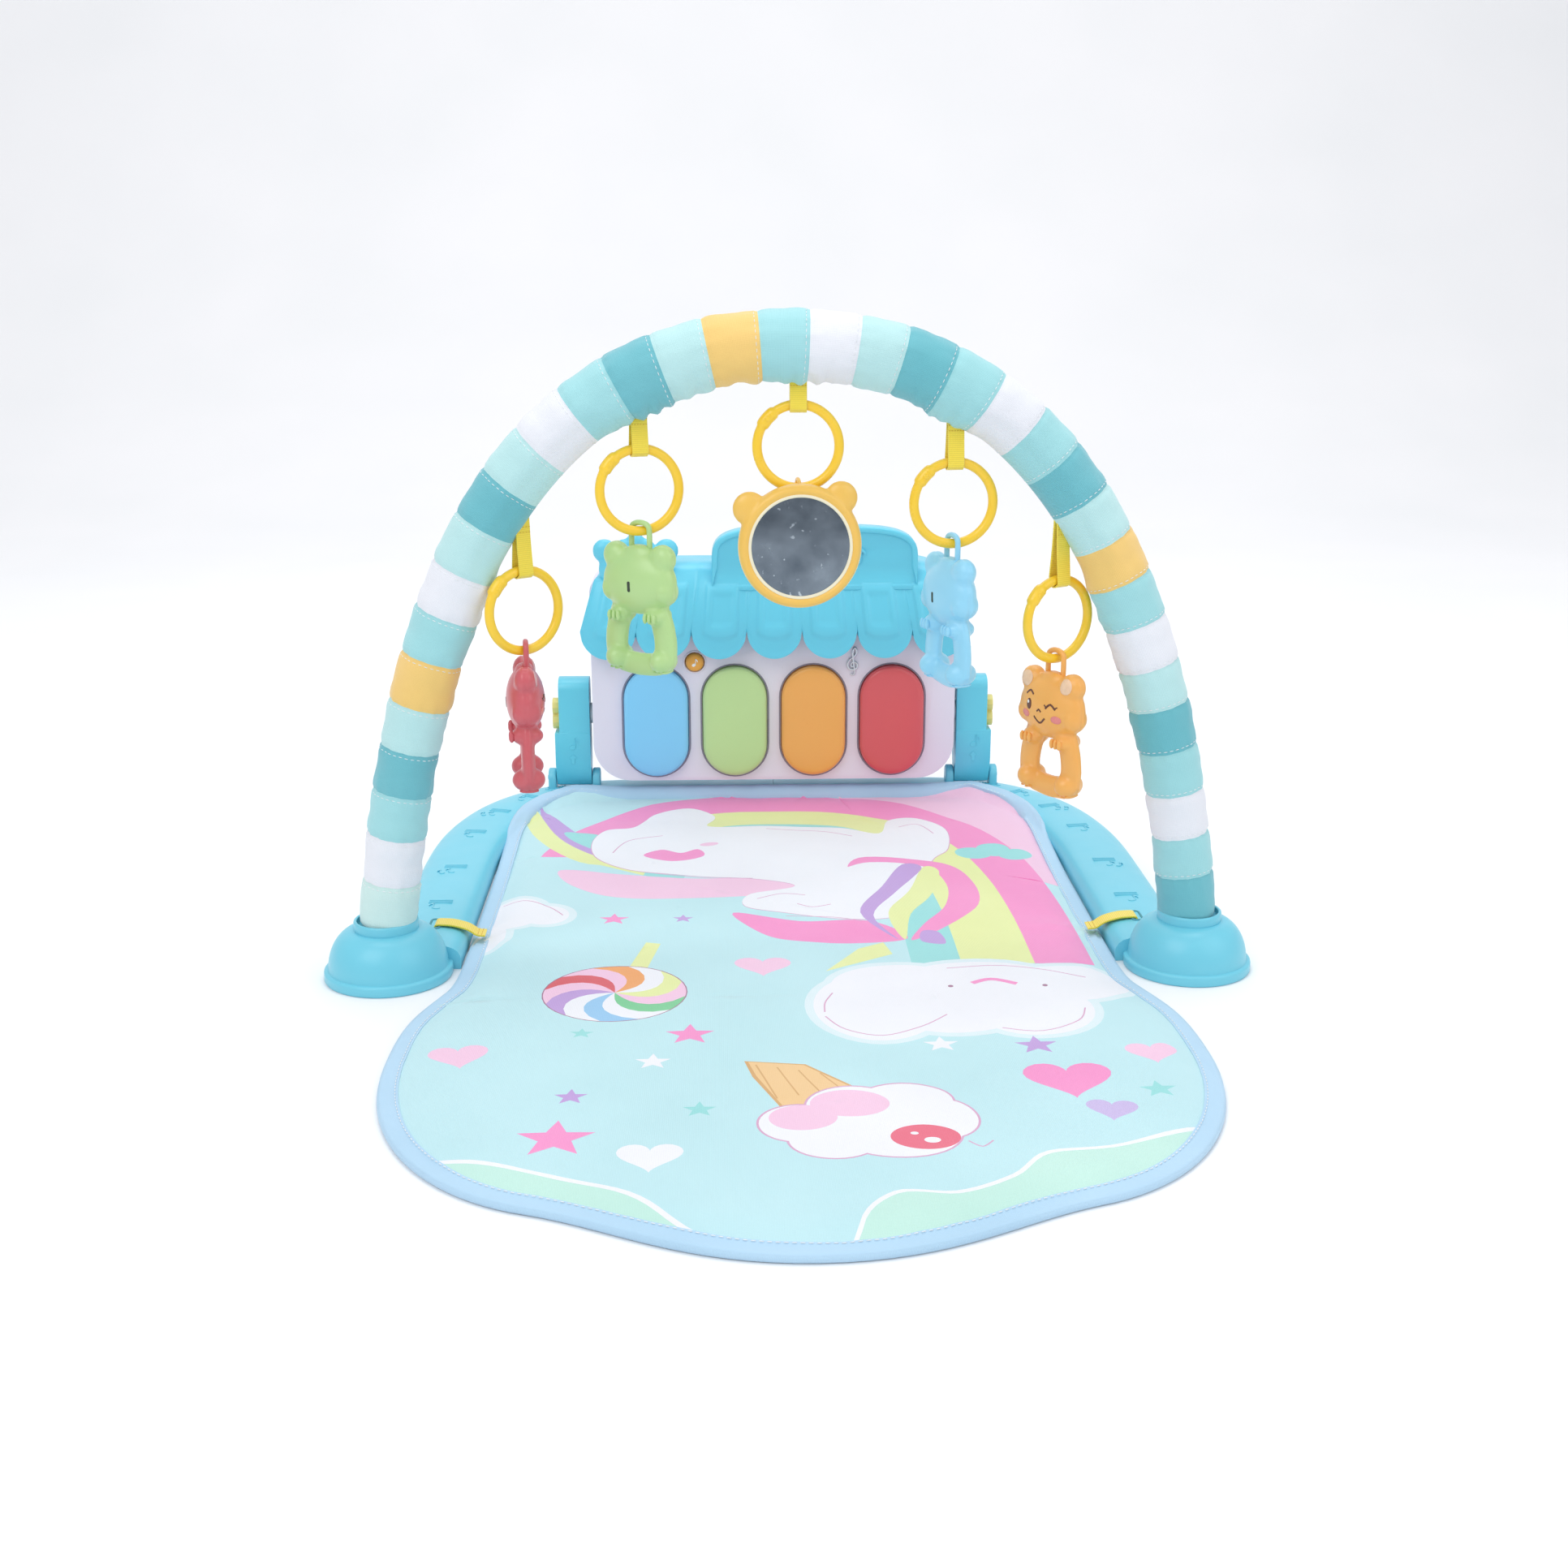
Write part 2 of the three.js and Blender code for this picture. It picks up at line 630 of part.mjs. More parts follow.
function buildKeys() {
  const colours = ["blue", "green", "orange", "red"];
  const inside = PIANO_FRONT_Y + PIANO_WALL + GAP;
  for (let i = 0; i < KEY_COUNT; i += 1) {
    const cap = prismY(keyOutline(i, 0), PIANO_FRONT_Y - KEY_PROUD + 2, inside + 1, 4);
    const crown = prismY(keyOutline(i, -2.5), PIANO_FRONT_Y - KEY_PROUD, PIANO_FRONT_Y, 4);
    const flange = prismY(keyOutline(i, KEY_FLANGE), inside, inside + 2, 4);
    add(`key_${colours[i]}`, joined(cap, crown, flange), colours[i]);
  }
  const button = joined(
    prismY(disc(BUTTON_X, BUTTON_Z, BUTTON_R), PIANO_FRONT_Y - 3.5, inside + 1, 8),
    prismY(disc(BUTTON_X, BUTTON_Z, BUTTON_R + 2), inside, inside + 1.5, 8),
  );
  add("mode_button", button, "orange");
  const slider = joined(
    prismY(
      roundedRect(SWITCH_X, SWITCH_Z - 2.9, SWITCH_Z + 2.9, 5, 1),
      PIANO_BACK_Y - PIANO_WALL - 1,
      PIANO_BACK_Y + 2,
      1,
    ),
    prismY(
      roundedRect(SWITCH_X, SWITCH_Z - 5, SWITCH_Z + 5, 7, 1),
      PIANO_BACK_Y - PIANO_WALL - GAP - 1.6,
      PIANO_BACK_Y - PIANO_WALL - GAP,
      1,
    ),
  );
  add("power_switch", slider, "rubber");
}

function buildInsides() {
  const flangeBack = PIANO_FRONT_Y + PIANO_WALL + GAP + 2;
  const bumpFront = flangeBack + KEY_TRAVEL + RUN;
  const padFront = bumpFront + 2.4;
  let pad = prismY(
    roundedRect(0, KEY_CENTRE_Z - 16, KEY_CENTRE_Z + 16, KEY_PITCH * 1.5 + 22, 4),
    padFront,
    padFront + 2,
    2,
  );
  for (let i = 0; i < KEY_COUNT; i += 1) {
    pad = pad.add(prismY(disc(keyX(i), KEY_CENTRE_Z, 8), bumpFront, padFront + 1, 4));
  }
  add("key_pad", pad, "rubber");
  const boardFront = padFront + 2 + GAP;
  const board = prismY(roundedRect(0, ...BOARD_Z, BOARD_HALF, 2), boardFront, boardFront + BOARD_T, 1);
  add("circuit_board", board, "board");
  const speakerBack = PIANO_BACK_Y - PIANO_WALL - GAP;
  const speaker = joined(
    prismY(disc(SPEAKER_X, SPEAKER_Z, SPEAKER_R), speakerBack - 4, speakerBack, 5),
    prismY(disc(SPEAKER_X, SPEAKER_Z, SPEAKER_R / 2), speakerBack - 11, speakerBack - 3, 5),
  );
  add("speaker", speaker, "rubber");
  const cellY = PIANO_BACK_Y - PIANO_WALL - GAP - CELL_R - 0.5;
  for (let i = 0; i < 3; i += 1) {
    const cellZ = CELLS_Z + (i - 1) * (2 * CELL_R + 1);
    const cell = joined(
      prismX(disc(cellY, cellZ, CELL_R), -CELL_LENGTH / 2, CELL_LENGTH / 2 - 1.5, 4),
      prismX(disc(cellY, cellZ, 2.6), CELL_LENGTH / 2 - 2, CELL_LENGTH / 2, 3),
    );
    add(`battery_cell_${i + 1}`, cell, "cell");
  }
}

// The badge is a looped clef shape of the piano's own: a stem, a bowl and a curl.
function buildBadge() {
  const z = BUTTON_Z;
  const back = PIANO_FRONT_Y - GAP;
  const badge = cutBy(
    joined(
      prismY(disc(CLEF_X, z - 3, 5), back - 1.6, back, 5),
      prismY(roundedRect(CLEF_X, z - 11, z + 10, 1.2, 1), back - 1.6, back, 1),
      prismY(disc(CLEF_X + 1.5, z + 6, 3.2, 4.4), back - 1.6, back, 5),
    ),
    prismY(disc(CLEF_X + 1.8, z - 3, 1.8), back - 3, back + 1, 4),
  );
  add("clef_badge", badge, "silver");
}

function buildRoof() {
  const lobeZ = ROOF_BOTTOM_Z + LOBE_R;
  const half = LOBE_COUNT * LOBE_R;
  const front = PIANO_FRONT_Y - GAP;
  const top = ROOF_TOP_Z;
  const under = PIANO_TOP_Z + GAP;
  const outline = new THREE.Shape();
  outline.moveTo(-half, lobeZ);
  for (let i = 0; i < LOBE_COUNT; i += 1) {
    outline.absarc(-half + (2 * i + 1) * LOBE_R, lobeZ, LOBE_R, Math.PI, Math.PI * 2, false);
  }
  outline.lineTo(ROOF_TOP_HALF, top + 2);
  outline.lineTo(-ROOF_TOP_HALF, top + 2);
  const side = polygon([
    [front, ROOF_BOTTOM_Z - 1],
    [front, under],
    [PIANO_BACK_Y, under],
    [PIANO_BACK_Y, top - 4],
    [PIANO_BACK_Y - 2, top],
    [front + 10, top],
    [front - 2, top - 6],
    [front - ROOF_DEPTH * 0.65, top - 26],
    [front - ROOF_DEPTH, ROOF_BOTTOM_Z + 12],
    [front - ROOF_DEPTH + 1.5, ROOF_BOTTOM_Z - 1],
  ]);
  const awning = prismY(outline, front - ROOF_DEPTH - 1, PIANO_BACK_Y + 1, 5).intersect(
    prismX(side, -half - 1, half + 1),
  );
  const signShape = (inset) => {
    const shape = new THREE.Shape();
    shape.moveTo(SIGN_X - SIGN_HALF + inset, SIGN_BASE_Z + inset);
    shape.lineTo(SIGN_X + SIGN_HALF - inset, SIGN_BASE_Z + inset);
    shape.lineTo(SIGN_X + SIGN_HALF - inset, SIGN_EAVE_Z);
    shape.absellipse(
      SIGN_X, SIGN_EAVE_Z, SIGN_HALF - inset, SIGN_RISE - inset, 0, Math.PI, false, 0);
    return shape;
  };
  const signFront = front - ROOF_DEPTH * 0.5;
  const roofIn = front + 7;
  const sign = prismY(signShape(0), signFront, roofIn, 10).subtract(
    prismY(signShape(SIGN_RIM), signFront - 1, signFront + 2, 10),
  );
  const figure = joined(
    prismY(disc(FIGURE_X, FIGURE_Z, FIGURE_W, FIGURE_H), signFront + 1, roofIn, 8),
    prismY(disc(FIGURE_X - FIGURE_W * 0.7, FIGURE_Z + 18, 9), signFront + 3, roofIn, 5),
    prismY(disc(FIGURE_X + FIGURE_W * 0.7, FIGURE_Z + 18, 9), signFront + 3, roofIn, 5),
    prismY(disc(FIGURE_X, FIGURE_Z + 22, 8, 7), signFront + 2, roofIn, 5),
  );
  const caseRoom = prismX(
    polygon([
      [front, PIANO_BOTTOM_Z],
      [PIANO_BACK_Y, PIANO_BOTTOM_Z],
      [PIANO_BACK_Y, under],
      [front, under],
    ]),
    -half,
    half,
  );
  add("piano_roof", joined(awning, sign, figure).subtract(caseRoom), "turquoise");
}

// ---- rings, hanging loops and toys ----

// x and z of each ring's centre, and the turns of the ring and of its toy about the upright.
const HANGERS = [
  { x: -152, z: 221, ringTurn: 38, toyTurn: -83, toy: "red" },
  { x: -85, z: 289, ringTurn: 18, toyTurn: -34, toy: "green" },
  { x: 4, z: 313, ringTurn: 0, toyTurn: 4, toy: "mirror" },
  { x: 92, z: 281, ringTurn: 8, toyTurn: -68, toy: "blue" },
  { x: 154, z: 214, ringTurn: 32, toyTurn: -56, toy: "orange" },
];
const radians = THREE.MathUtils.degToRad;

function hangFrame(hanger, z, turn) {
  const frame = new THREE.Group();
  frame.position.set(hanger.x, 0, z);
  frame.rotation.z = radians(turn);
  model.add(frame);
  return frame;
}

function buildRing(hanger, number) {
  const torus = new THREE.TorusGeometry(RING_R, RING_TUBE_R, 8, 20);
  torus.rotateX(Math.PI / 2);
  const clasp = new THREE.CylinderGeometry(CLASP_R, CLASP_R, CLASP_LENGTH, 8);
  clasp.translate(RING_R, 0, 0);
  clasp.rotateX(Math.PI / 2);
  clasp.rotateY(-radians(CLASP_AT));
  const frame = hangFrame(hanger, hanger.z, hanger.ringTurn);
  add(`ring_${number}`, solidOf(torus).add(solidOf(clasp)), "yellow", frame);
}

// A strap of webbing that passes under the ring's tube and ends on the sleeve's underside.
function buildLoop(hanger, number, sleeveRoom) {
  const inner = RING_TUBE_R + LOOP_ROOM;
  const topZ = archHeightAtX(hanger.x);
  const ringTop = hanger.z + RING_R;
  const shape = (grow) => roundedRect(0, ringTop - inner - grow, topZ + grow, inner + grow, inner);
  const band = prismX(shape(LOOP_T), -LOOP_WIDTH / 2, LOOP_WIDTH / 2, 4).subtract(
    prismX(shape(0), -LOOP_WIDTH, LOOP_WIDTH, 4),
  );
  const placed = band.rotate([0, 0, hanger.ringTurn]).translate([hanger.x, 0, 0]);
  add(`hang_loop_${number}`, placed.subtract(sleeveRoom), "webbing");
}

// The eye that a rattle hangs by: an upright staple with the ring's tube at the frame's origin. It
// belongs to the back shell, so the seam between a toy's shells lies just in front of it.
const SEAM_Y = -(EYE_WALL + GAP) / 2;
const HEAD_TOP = -(RING_TUBE_R + RUN + EYE_LEGS);

function rattleEye() {
  const top = RING_TUBE_R + RUN;
  const outer = roundedRect(0, HEAD_TOP - 4, top + EYE_WALL, EYE_HALF_WIDTH + EYE_WALL, 1, 6);
  const inner = roundedRect(0, HEAD_TOP - 1, top, EYE_HALF_WIDTH, 1, 4.5);
  const half = EYE_WALL / 2;
  return prismY(outer, -half, half, 3).subtract(prismY(inner, -EYE_WALL, EYE_WALL, 3));
}

// Cuts a toy's body at its seam and gives the front and back shells.
function shells(whole, seamY) {
  const reach = 4 * TOY_DROP;
  const block = (y0, y1) => prismY(roundedRect(0, -reach, reach, reach, 1), y0, y1, 1);
  return {
    front: whole.intersect(block(-reach, seamY - GAP / 2)),
    back: whole.intersect(block(seamY + GAP / 2, reach)),
  };
}

function rattleBody() {
  const headZ = HEAD_TOP - TOY_HEAD_H;
  const handleTop = headZ - TOY_HEAD_H + CHIN;
  const slab = (shape, share, segments) =>
    prismY(shape, SEAM_Y - (share * TOY_T) / 2, SEAM_Y + (share * TOY_T) / 2, segments);
  const sides = [-1, 1];
  const solid = joined(
    slab(disc(0, headZ, TOY_HEAD_W, TOY_HEAD_H), 1, 6),
    slab(roundedRect(0, -TOY_DROP + 1, handleTop, HANDLE_HALF, 9, 6), 0.72, 2),
    ...sides.map((side) => slab(disc(side * EAR_X, HEAD_TOP - 5, EAR_SIZE), 0.6, 3)),
    ...sides.map((side) => slab(disc(side * EAR_X, -TOY_DROP + FOOT_SIZE, FOOT_SIZE), 0.9, 3)),
  );
  const holeTop = handleTop - 12;
  const hole = roundedRect(0, -TOY_DROP + HANDLE_BAR, holeTop, HANDLE_HALF - 9.5, 5, 8);
  return solid.subtract(prismY(hole, -TOY_T, TOY_T, 2));
}

function buildRattle(hanger, number) {
  const frame = hangFrame(hanger, hanger.z - RING_R, hanger.toyTurn);
  const headZ = HEAD_TOP - TOY_HEAD_H;
  const chamber = TOY_T / 2 - SHELL_WALL;
  const pocket = prismY(
    disc(0, headZ, TOY_HEAD_W - 9, TOY_HEAD_H - CHIN),
    SEAM_Y - chamber,
    SEAM_Y + chamber,
    4,
  );
  const { front, back } = shells(rattleBody(), SEAM_Y);
  add(`rattle_front_${number}`, front.subtract(pocket), hanger.toy, frame);
  add(`rattle_back_${number}`, back.subtract(pocket).add(rattleEye()), hanger.toy, frame);
  const bead = new THREE.IcosahedronGeometry(BEAD_R, 1);
  bead.translate(0, SEAM_Y, headZ - TOY_HEAD_H + CHIN + BEAD_R + 2 * GAP);
  add(`bead_${number}`, solidOf(bead), "white", frame);
}

// The mirror's two ears stand on its rim, turned a little in the plane of its face.
function mirrorEar(side) {
  const angle = Math.PI / 2 - side * MIRROR_EAR_ANGLE + MIRROR_ROLL;
  return [MIRROR_EAR_REACH * Math.cos(angle), -MIRROR_DROP + MIRROR_EAR_REACH * Math.sin(angle)];
}

// The mirror hangs in front of its ring by an eye on its back, and its front is a thin bezel.
function buildMirror(hanger) {
  const frame = hangFrame(hanger, hanger.z - RING_R, hanger.toyTurn);
  const reach = RING_TUBE_R + RUN;
  const bodyBack = -(CLASP_R + RUN);
  const seamY = bodyBack - MIRROR_BACK_T;
  const frontY = seamY - MIRROR_BEZEL;
  const slab = (shape, trim, segments) => prismY(shape, frontY + trim, bodyBack - trim, segments);
  const whole = joined(
    slab(disc(0, -MIRROR_DROP, MIRROR_R), 0, 8),
    slab(disc(...mirrorEar(-1), MIRROR_EAR_R), 1.5, 4),
    slab(disc(...mirrorEar(1), MIRROR_EAR_R), 1.5, 4),
  );
  const eyeShape = (wall, corner) =>
    roundedRect(0, -MIRROR_EYE_LOW - wall, reach + wall, MIRROR_EYE_HALF + wall, corner);
  const half = EYE_WALL / 2;
  const eye = prismX(eyeShape(EYE_WALL, 4), -half, half, 3).subtract(
    prismX(eyeShape(0, 2.5), -EYE_WALL, EYE_WALL, 3),
  );
  const seat = prismY(disc(0, -MIRROR_DROP, MIRROR_GLASS_R + GAP), frontY - 1, seamY + 1, 8);
  const { front, back } = shells(whole, seamY);
  add("mirror_frame", front.subtract(seat), "amber", frame);
  add("mirror_back", back.add(eye), "amber", frame);
  const glassShape = disc(0, -MIRROR_DROP, MIRROR_GLASS_R);
  const glass = prismY(glassShape, frontY + MIRROR_SUNK, seamY - GAP / 2, 8);
  add("mirror_glass", glass, "mirror", frame);
}

function buildHangers(sleeveRoom) {
  HANGERS.forEach((hanger, i) => {
    buildLoop(hanger, i + 1, sleeveRoom);
    buildRing(hanger, i + 1);
    if (hanger.toy === "mirror") buildMirror(hanger);
    else buildRattle(hanger, i + 1);
  });
}

// ---- mat and its straps ----

function matOutline() {
  const waist = barX - BAR_WIDTH / 2 - MAT_SIDE_GAP;
  const backY = STAND_Y - EAR_R - MAT_BACK_GAP;
  const frontY = MAT_FRONT_Y;
  const right = new THREE.Path();
  right.moveTo(0, frontY);
  right.bezierCurveTo(60, frontY, 90, frontY + 32, 130, frontY + 46);
  right.bezierCurveTo(180, frontY + 62, MAT_HALF, frontY + 120, MAT_HALF, frontY + 200);
  right.bezierCurveTo(MAT_HALF, -80, MAT_HALF - 8, -70, waist + 4, -DOME_R);
  right.bezierCurveTo(waist, -25, waist, 0, waist, 40);
  right.lineTo(waist, backY - 105);
  right.bezierCurveTo(waist, backY - 40, waist - 20, backY - 20, waist - 34, backY - 6);
  right.bezierCurveTo(waist - 38, backY - 2, waist - 42, backY, waist - 50, backY);
  const points = right.getPoints(5);
  const left = points.map((p) => new THREE.Vector2(-p.x, p.y)).reverse();
  return new THREE.Shape([...points, ...left.slice(0, -1)]);
}

function buildMat() {
  const onBar = BAR_HEIGHT + GAP;
  const rampEnd = BAR_BACK_Y - BAR_WIDTH / 2 - 4;
  const rampStart = rampEnd - 46;
  const far = BAR_BACK_Y;
  const side = polygon([
    [MAT_FRONT_Y - 10, 0],
    [rampStart, 0],
    [rampEnd, onBar],
    [far, onBar],
    [far, onBar + MAT_EDGE_T],
    [rampEnd - 2, onBar + MAT_EDGE_T],
    [rampStart - 4, MAT_T],
    [MAT_FRONT_Y - 10, MAT_T],
  ]);
  const slab = prismX(side, -MAT_HALF - 10, MAT_HALF + 10);
  const bars = barSweep(GAP, DOME_R * 0.2);
  const outline = prismZ(matOutline(), -1, onBar + MAT_EDGE_T + 1);
  const mat = cutBy(slab.intersect(outline), bars, mirroredX(bars));
  add("play_mat", mat, "mat");
}

function buildStraps() {
  const inner = barX - BAR_WIDTH / 2;
  const slotX = barX - STRAP_SLOT_IN - 0.7;
  const flatX = Math.min(inner + 19, slotX - 1);
  const top = BAR_HEIGHT + GAP;
  const matTop = MAT_T + GAP;
  const under = [
    [inner - 9, matTop],
    [inner - 4, matTop],
    [inner - 1, top - 4],
    [inner + 9, top - 0.6],
    [flatX, top],
    [slotX, top],
    [slotX, top - 6],
  ];
  const over = [
    [slotX + STRAP_T, top - 6],
    [slotX + STRAP_T, top + STRAP_T],
    [flatX, top + STRAP_T],
    [inner + 8.6, top - 0.6 + STRAP_T],
    [inner - 2, top - 3.4 + STRAP_T],
    [inner - 5, matTop + STRAP_T],
    [inner - 9, matTop + STRAP_T],
  ];
  const strap = prismY(
    polygon([...under, ...over]),
    STRAP_Y - STRAP_WIDTH / 2,
    STRAP_Y + STRAP_WIDTH / 2,
  );
  add("mat_strap_right", strap, "webbing");
  add("mat_strap_left", mirroredX(strap), "webbing");
}

// ---- assembly ----

const sleeveRoom = buildArch();
buildDomes();
buildBase();
buildStand();
buildCase();
buildKeys();
buildInsides();
buildBadge();
buildRoof();
buildHangers(sleeveRoom);
buildMat();
buildStraps();

// The origin is on the floor under the middle of the whole footprint.
model.position.y = -(MAT_FRONT_Y + BAR_BACK_Y + BAR_WIDTH / 2) / 2;

export default gym;
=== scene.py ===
# The looks of a baby's activity gym: a padded mat in a floor frame, a padded toy arch with five
# hanging toys, and a tilting kick piano. Lengths are millimetres measured from the arch's plane,
# until put_piece turns them into the frame's metres.
import math

import bmesh
import bpy
import numpy as np
from mathutils import Matrix, Vector, geometry, noise
from mathutils.bvhtree import BVHTree


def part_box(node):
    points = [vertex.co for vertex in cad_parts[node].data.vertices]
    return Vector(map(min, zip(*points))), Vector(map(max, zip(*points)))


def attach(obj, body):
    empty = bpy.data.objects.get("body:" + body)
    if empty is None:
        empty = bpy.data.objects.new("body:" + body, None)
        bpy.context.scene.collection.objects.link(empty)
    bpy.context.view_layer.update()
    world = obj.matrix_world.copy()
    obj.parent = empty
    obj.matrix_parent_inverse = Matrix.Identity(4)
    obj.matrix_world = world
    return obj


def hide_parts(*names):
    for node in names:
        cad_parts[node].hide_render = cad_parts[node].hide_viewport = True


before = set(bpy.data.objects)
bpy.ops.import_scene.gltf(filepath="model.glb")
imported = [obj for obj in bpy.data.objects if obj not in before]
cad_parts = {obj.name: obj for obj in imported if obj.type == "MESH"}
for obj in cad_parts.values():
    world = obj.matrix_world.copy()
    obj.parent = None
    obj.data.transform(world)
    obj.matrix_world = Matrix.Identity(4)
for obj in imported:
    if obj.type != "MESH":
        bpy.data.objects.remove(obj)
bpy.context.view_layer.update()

MM = 0.001
TAU = 2 * math.pi

# ---- places taken from the frame ----


def middle(node):
    low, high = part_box(node)
    return (low + high) / 2


def edge(node, axis, side):
    """The lowest (side 0) or highest (side 1) coordinate of a node along x, y or z, in mm."""
    value = getattr(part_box(node)[side], axis)
    return (value - (ARCH_Y if axis == "y" else 0)) / MM


ARCH_Y = middle("foot_dome_left").y
DOME_X = middle("foot_dome_right").x / MM
DOME_R = (edge("foot_dome_right", "x", 1) - edge("foot_dome_right", "x", 0)) / 2
DOME_TOP = edge("foot_dome_right", "z", 1)
TUBE_R = 10
CROWN_Z = edge("arch_tube_left", "z", 1) - TUBE_R
BAR_WIDTH = 48
BAR_X = DOME_X - 18
BAR_BACK_Y = edge("base_leg_right", "y", 1) - BAR_WIDTH / 2
PANEL_FRONT = edge("piano_front", "y", 0)
PANEL_BACK = edge("piano_back", "y", 1)
PANEL_HALF = edge("piano_front", "x", 1)
PANEL_TOP = edge("piano_front", "z", 1)
STAND_Y = (edge("upright_right", "y", 0) + edge("upright_right", "y", 1)) / 2
PIVOT_Z = (edge("pivot_washer_right", "z", 0) + edge("pivot_washer_right", "z", 1)) / 2
MAT_FRONT = edge("play_mat", "y", 0)
MAT_BACK = edge("play_mat", "y", 1)
MAT_HALF = edge("play_mat", "x", 1)
MAT_T = 8

# ---- colours ----


def colour(code):
    """Linear RGBA from a six-digit colour code."""
    parts = [int(code[i : i + 2], 16) / 255 for i in (0, 2, 4)]
    line = [c / 12.92 if c <= 0.04045 else ((c + 0.055) / 1.055) ** 2.4 for c in parts]
    return (*line, 1)


TURQUOISE = colour("72cde2")
POST_TURQUOISE = colour("68cfe5")
ROOF_TURQUOISE = colour("66cde6")
PANEL_LILAC = colour("e9e4f1")
RING_YELLOW = colour("ffd233")
KNOB_YELLOW = colour("ecd982")
WEBBING_YELLOW = colour("ffe447")
PLASTICS = {
    "red": colour("cf6068"),
    "green": colour("b9dc95"),
    "blue": colour("99dbf7"),
    "orange": colour("f8b45c"),
}
KEYS = {
    "blue": colour("85d2fa"),
    "green": colour("bfde99"),
    "orange": colour("f3ae58"),
    "red": colour("da5a5f"),
}

# ---- materials ----


class Finish:
    """One material and short ways to add nodes to it."""

    def __init__(self, name, base, roughness, metallic=0.0):
        self.material = bpy.data.materials.new(name)
        self.material.use_nodes = True
        self.tree = self.material.node_tree
        self.shader = self.tree.nodes["Principled BSDF"]
        self.shader.inputs["Base Color"].default_value = base
        self.shader.inputs["Roughness"].default_value = roughness
        self.shader.inputs["Metallic"].default_value = metallic

    def node(self, kind, **settings):
        made = self.tree.nodes.new(kind)
        for key, value in settings.items():
            setattr(made, key, value)
        return made

    def join(self, source, target):
        self.tree.links.new(source, target)

    def place(self, source="Object"):
        return self.node("ShaderNodeTexCoord").outputs[source]

    def noise(self, scale, detail=3.0, source="Object"):
        made = self.node("ShaderNodeTexNoise")
        made.inputs["Scale"].default_value = scale
        made.inputs["Detail"].default_value = detail
        self.join(self.place(source), made.inputs["Vector"])
        return made.outputs["Fac"]

    def spread(self, value, low, high, from_low=0.3, from_high=0.7):
        made = self.node("ShaderNodeMapRange")
        made.inputs["From Min"].default_value = from_low
        made.inputs["From Max"].default_value = from_high
        made.inputs["To Min"].default_value = low
        made.inputs["To Max"].default_value = high
        self.join(value, made.inputs["Value"])
        return made.outputs["Result"]

    def mix(self, first, second, share, blend="MIX"):
        made = self.node("ShaderNodeMix", data_type="RGBA", blend_type=blend)
        for value, socket in ((first, made.inputs[6]), (second, made.inputs[7])):
            if isinstance(value, tuple):
                socket.default_value = value
            else:
                self.join(value, socket)
        if isinstance(share, float):
            made.inputs[0].default_value = share
        else:
            self.join(share, made.inputs[0])
        return made.outputs[2]

    def sum(self, first, second, operation="ADD", scale=1.0):
        made = self.node("ShaderNodeMath", operation=operation)
        self.join(first, made.inputs[0])
        if second is None:
            made.inputs[1].default_value = scale
        else:
            self.join(second, made.inputs[1])
        return made.outputs[0]

    def bump(self, height, strength, distance, under=None):
        made = self.node("ShaderNodeBump")
        made.inputs["Strength"].default_value = strength
        made.inputs["Distance"].default_value = distance
        self.join(height, made.inputs["Height"])
        if under is not None:
            self.join(under, made.inputs["Normal"])
        self.join(made.outputs["Normal"], self.shader.inputs["Normal"])
        return made.outputs["Normal"]

    def wave(self, vector, scale, direction):
        made = self.node("ShaderNodeTexWave", bands_direction=direction)
        made.inputs["Scale"].default_value = scale
        self.join(vector, made.inputs["Vector"])
        return made.outputs["Fac"]


def shade(base, share):
    return (*[c * share for c in base[:3]], 1)


def moulded(name, base, roughness=0.34, grain=0.12, coat=0.15):
    """Injection-moulded plastic: faint clouding, fine spark grain and rubbed patches."""
    finish = Finish(name, base, roughness)
    cloud = finish.spread(finish.noise(14, 4), 0.0, 1.0, 0.25, 0.75)
    tint = finish.mix(shade(base, 0.97), shade(base, 1.02), cloud)
    dust = finish.spread(finish.noise(420, 5), 0.0, 1.0, 0.62, 0.78)
    tint = finish.mix(tint, shade(base, 0.975), dust)
    finish.join(tint, finish.shader.inputs["Base Color"])
    rub = finish.spread(finish.noise(60, 6), roughness - 0.02, roughness + 0.05)
    finish.join(rub, finish.shader.inputs["Roughness"])
    finish.bump(finish.noise(1600, 2), grain, 0.0002)
    finish.shader.inputs["Coat Weight"].default_value = coat
    finish.shader.inputs["Coat Roughness"].default_value = 0.25
    finish.shader.inputs["Subsurface Weight"].default_value = 0.06
    finish.shader.inputs["Subsurface Radius"].default_value = (0.004, 0.003, 0.003)
    return finish.material


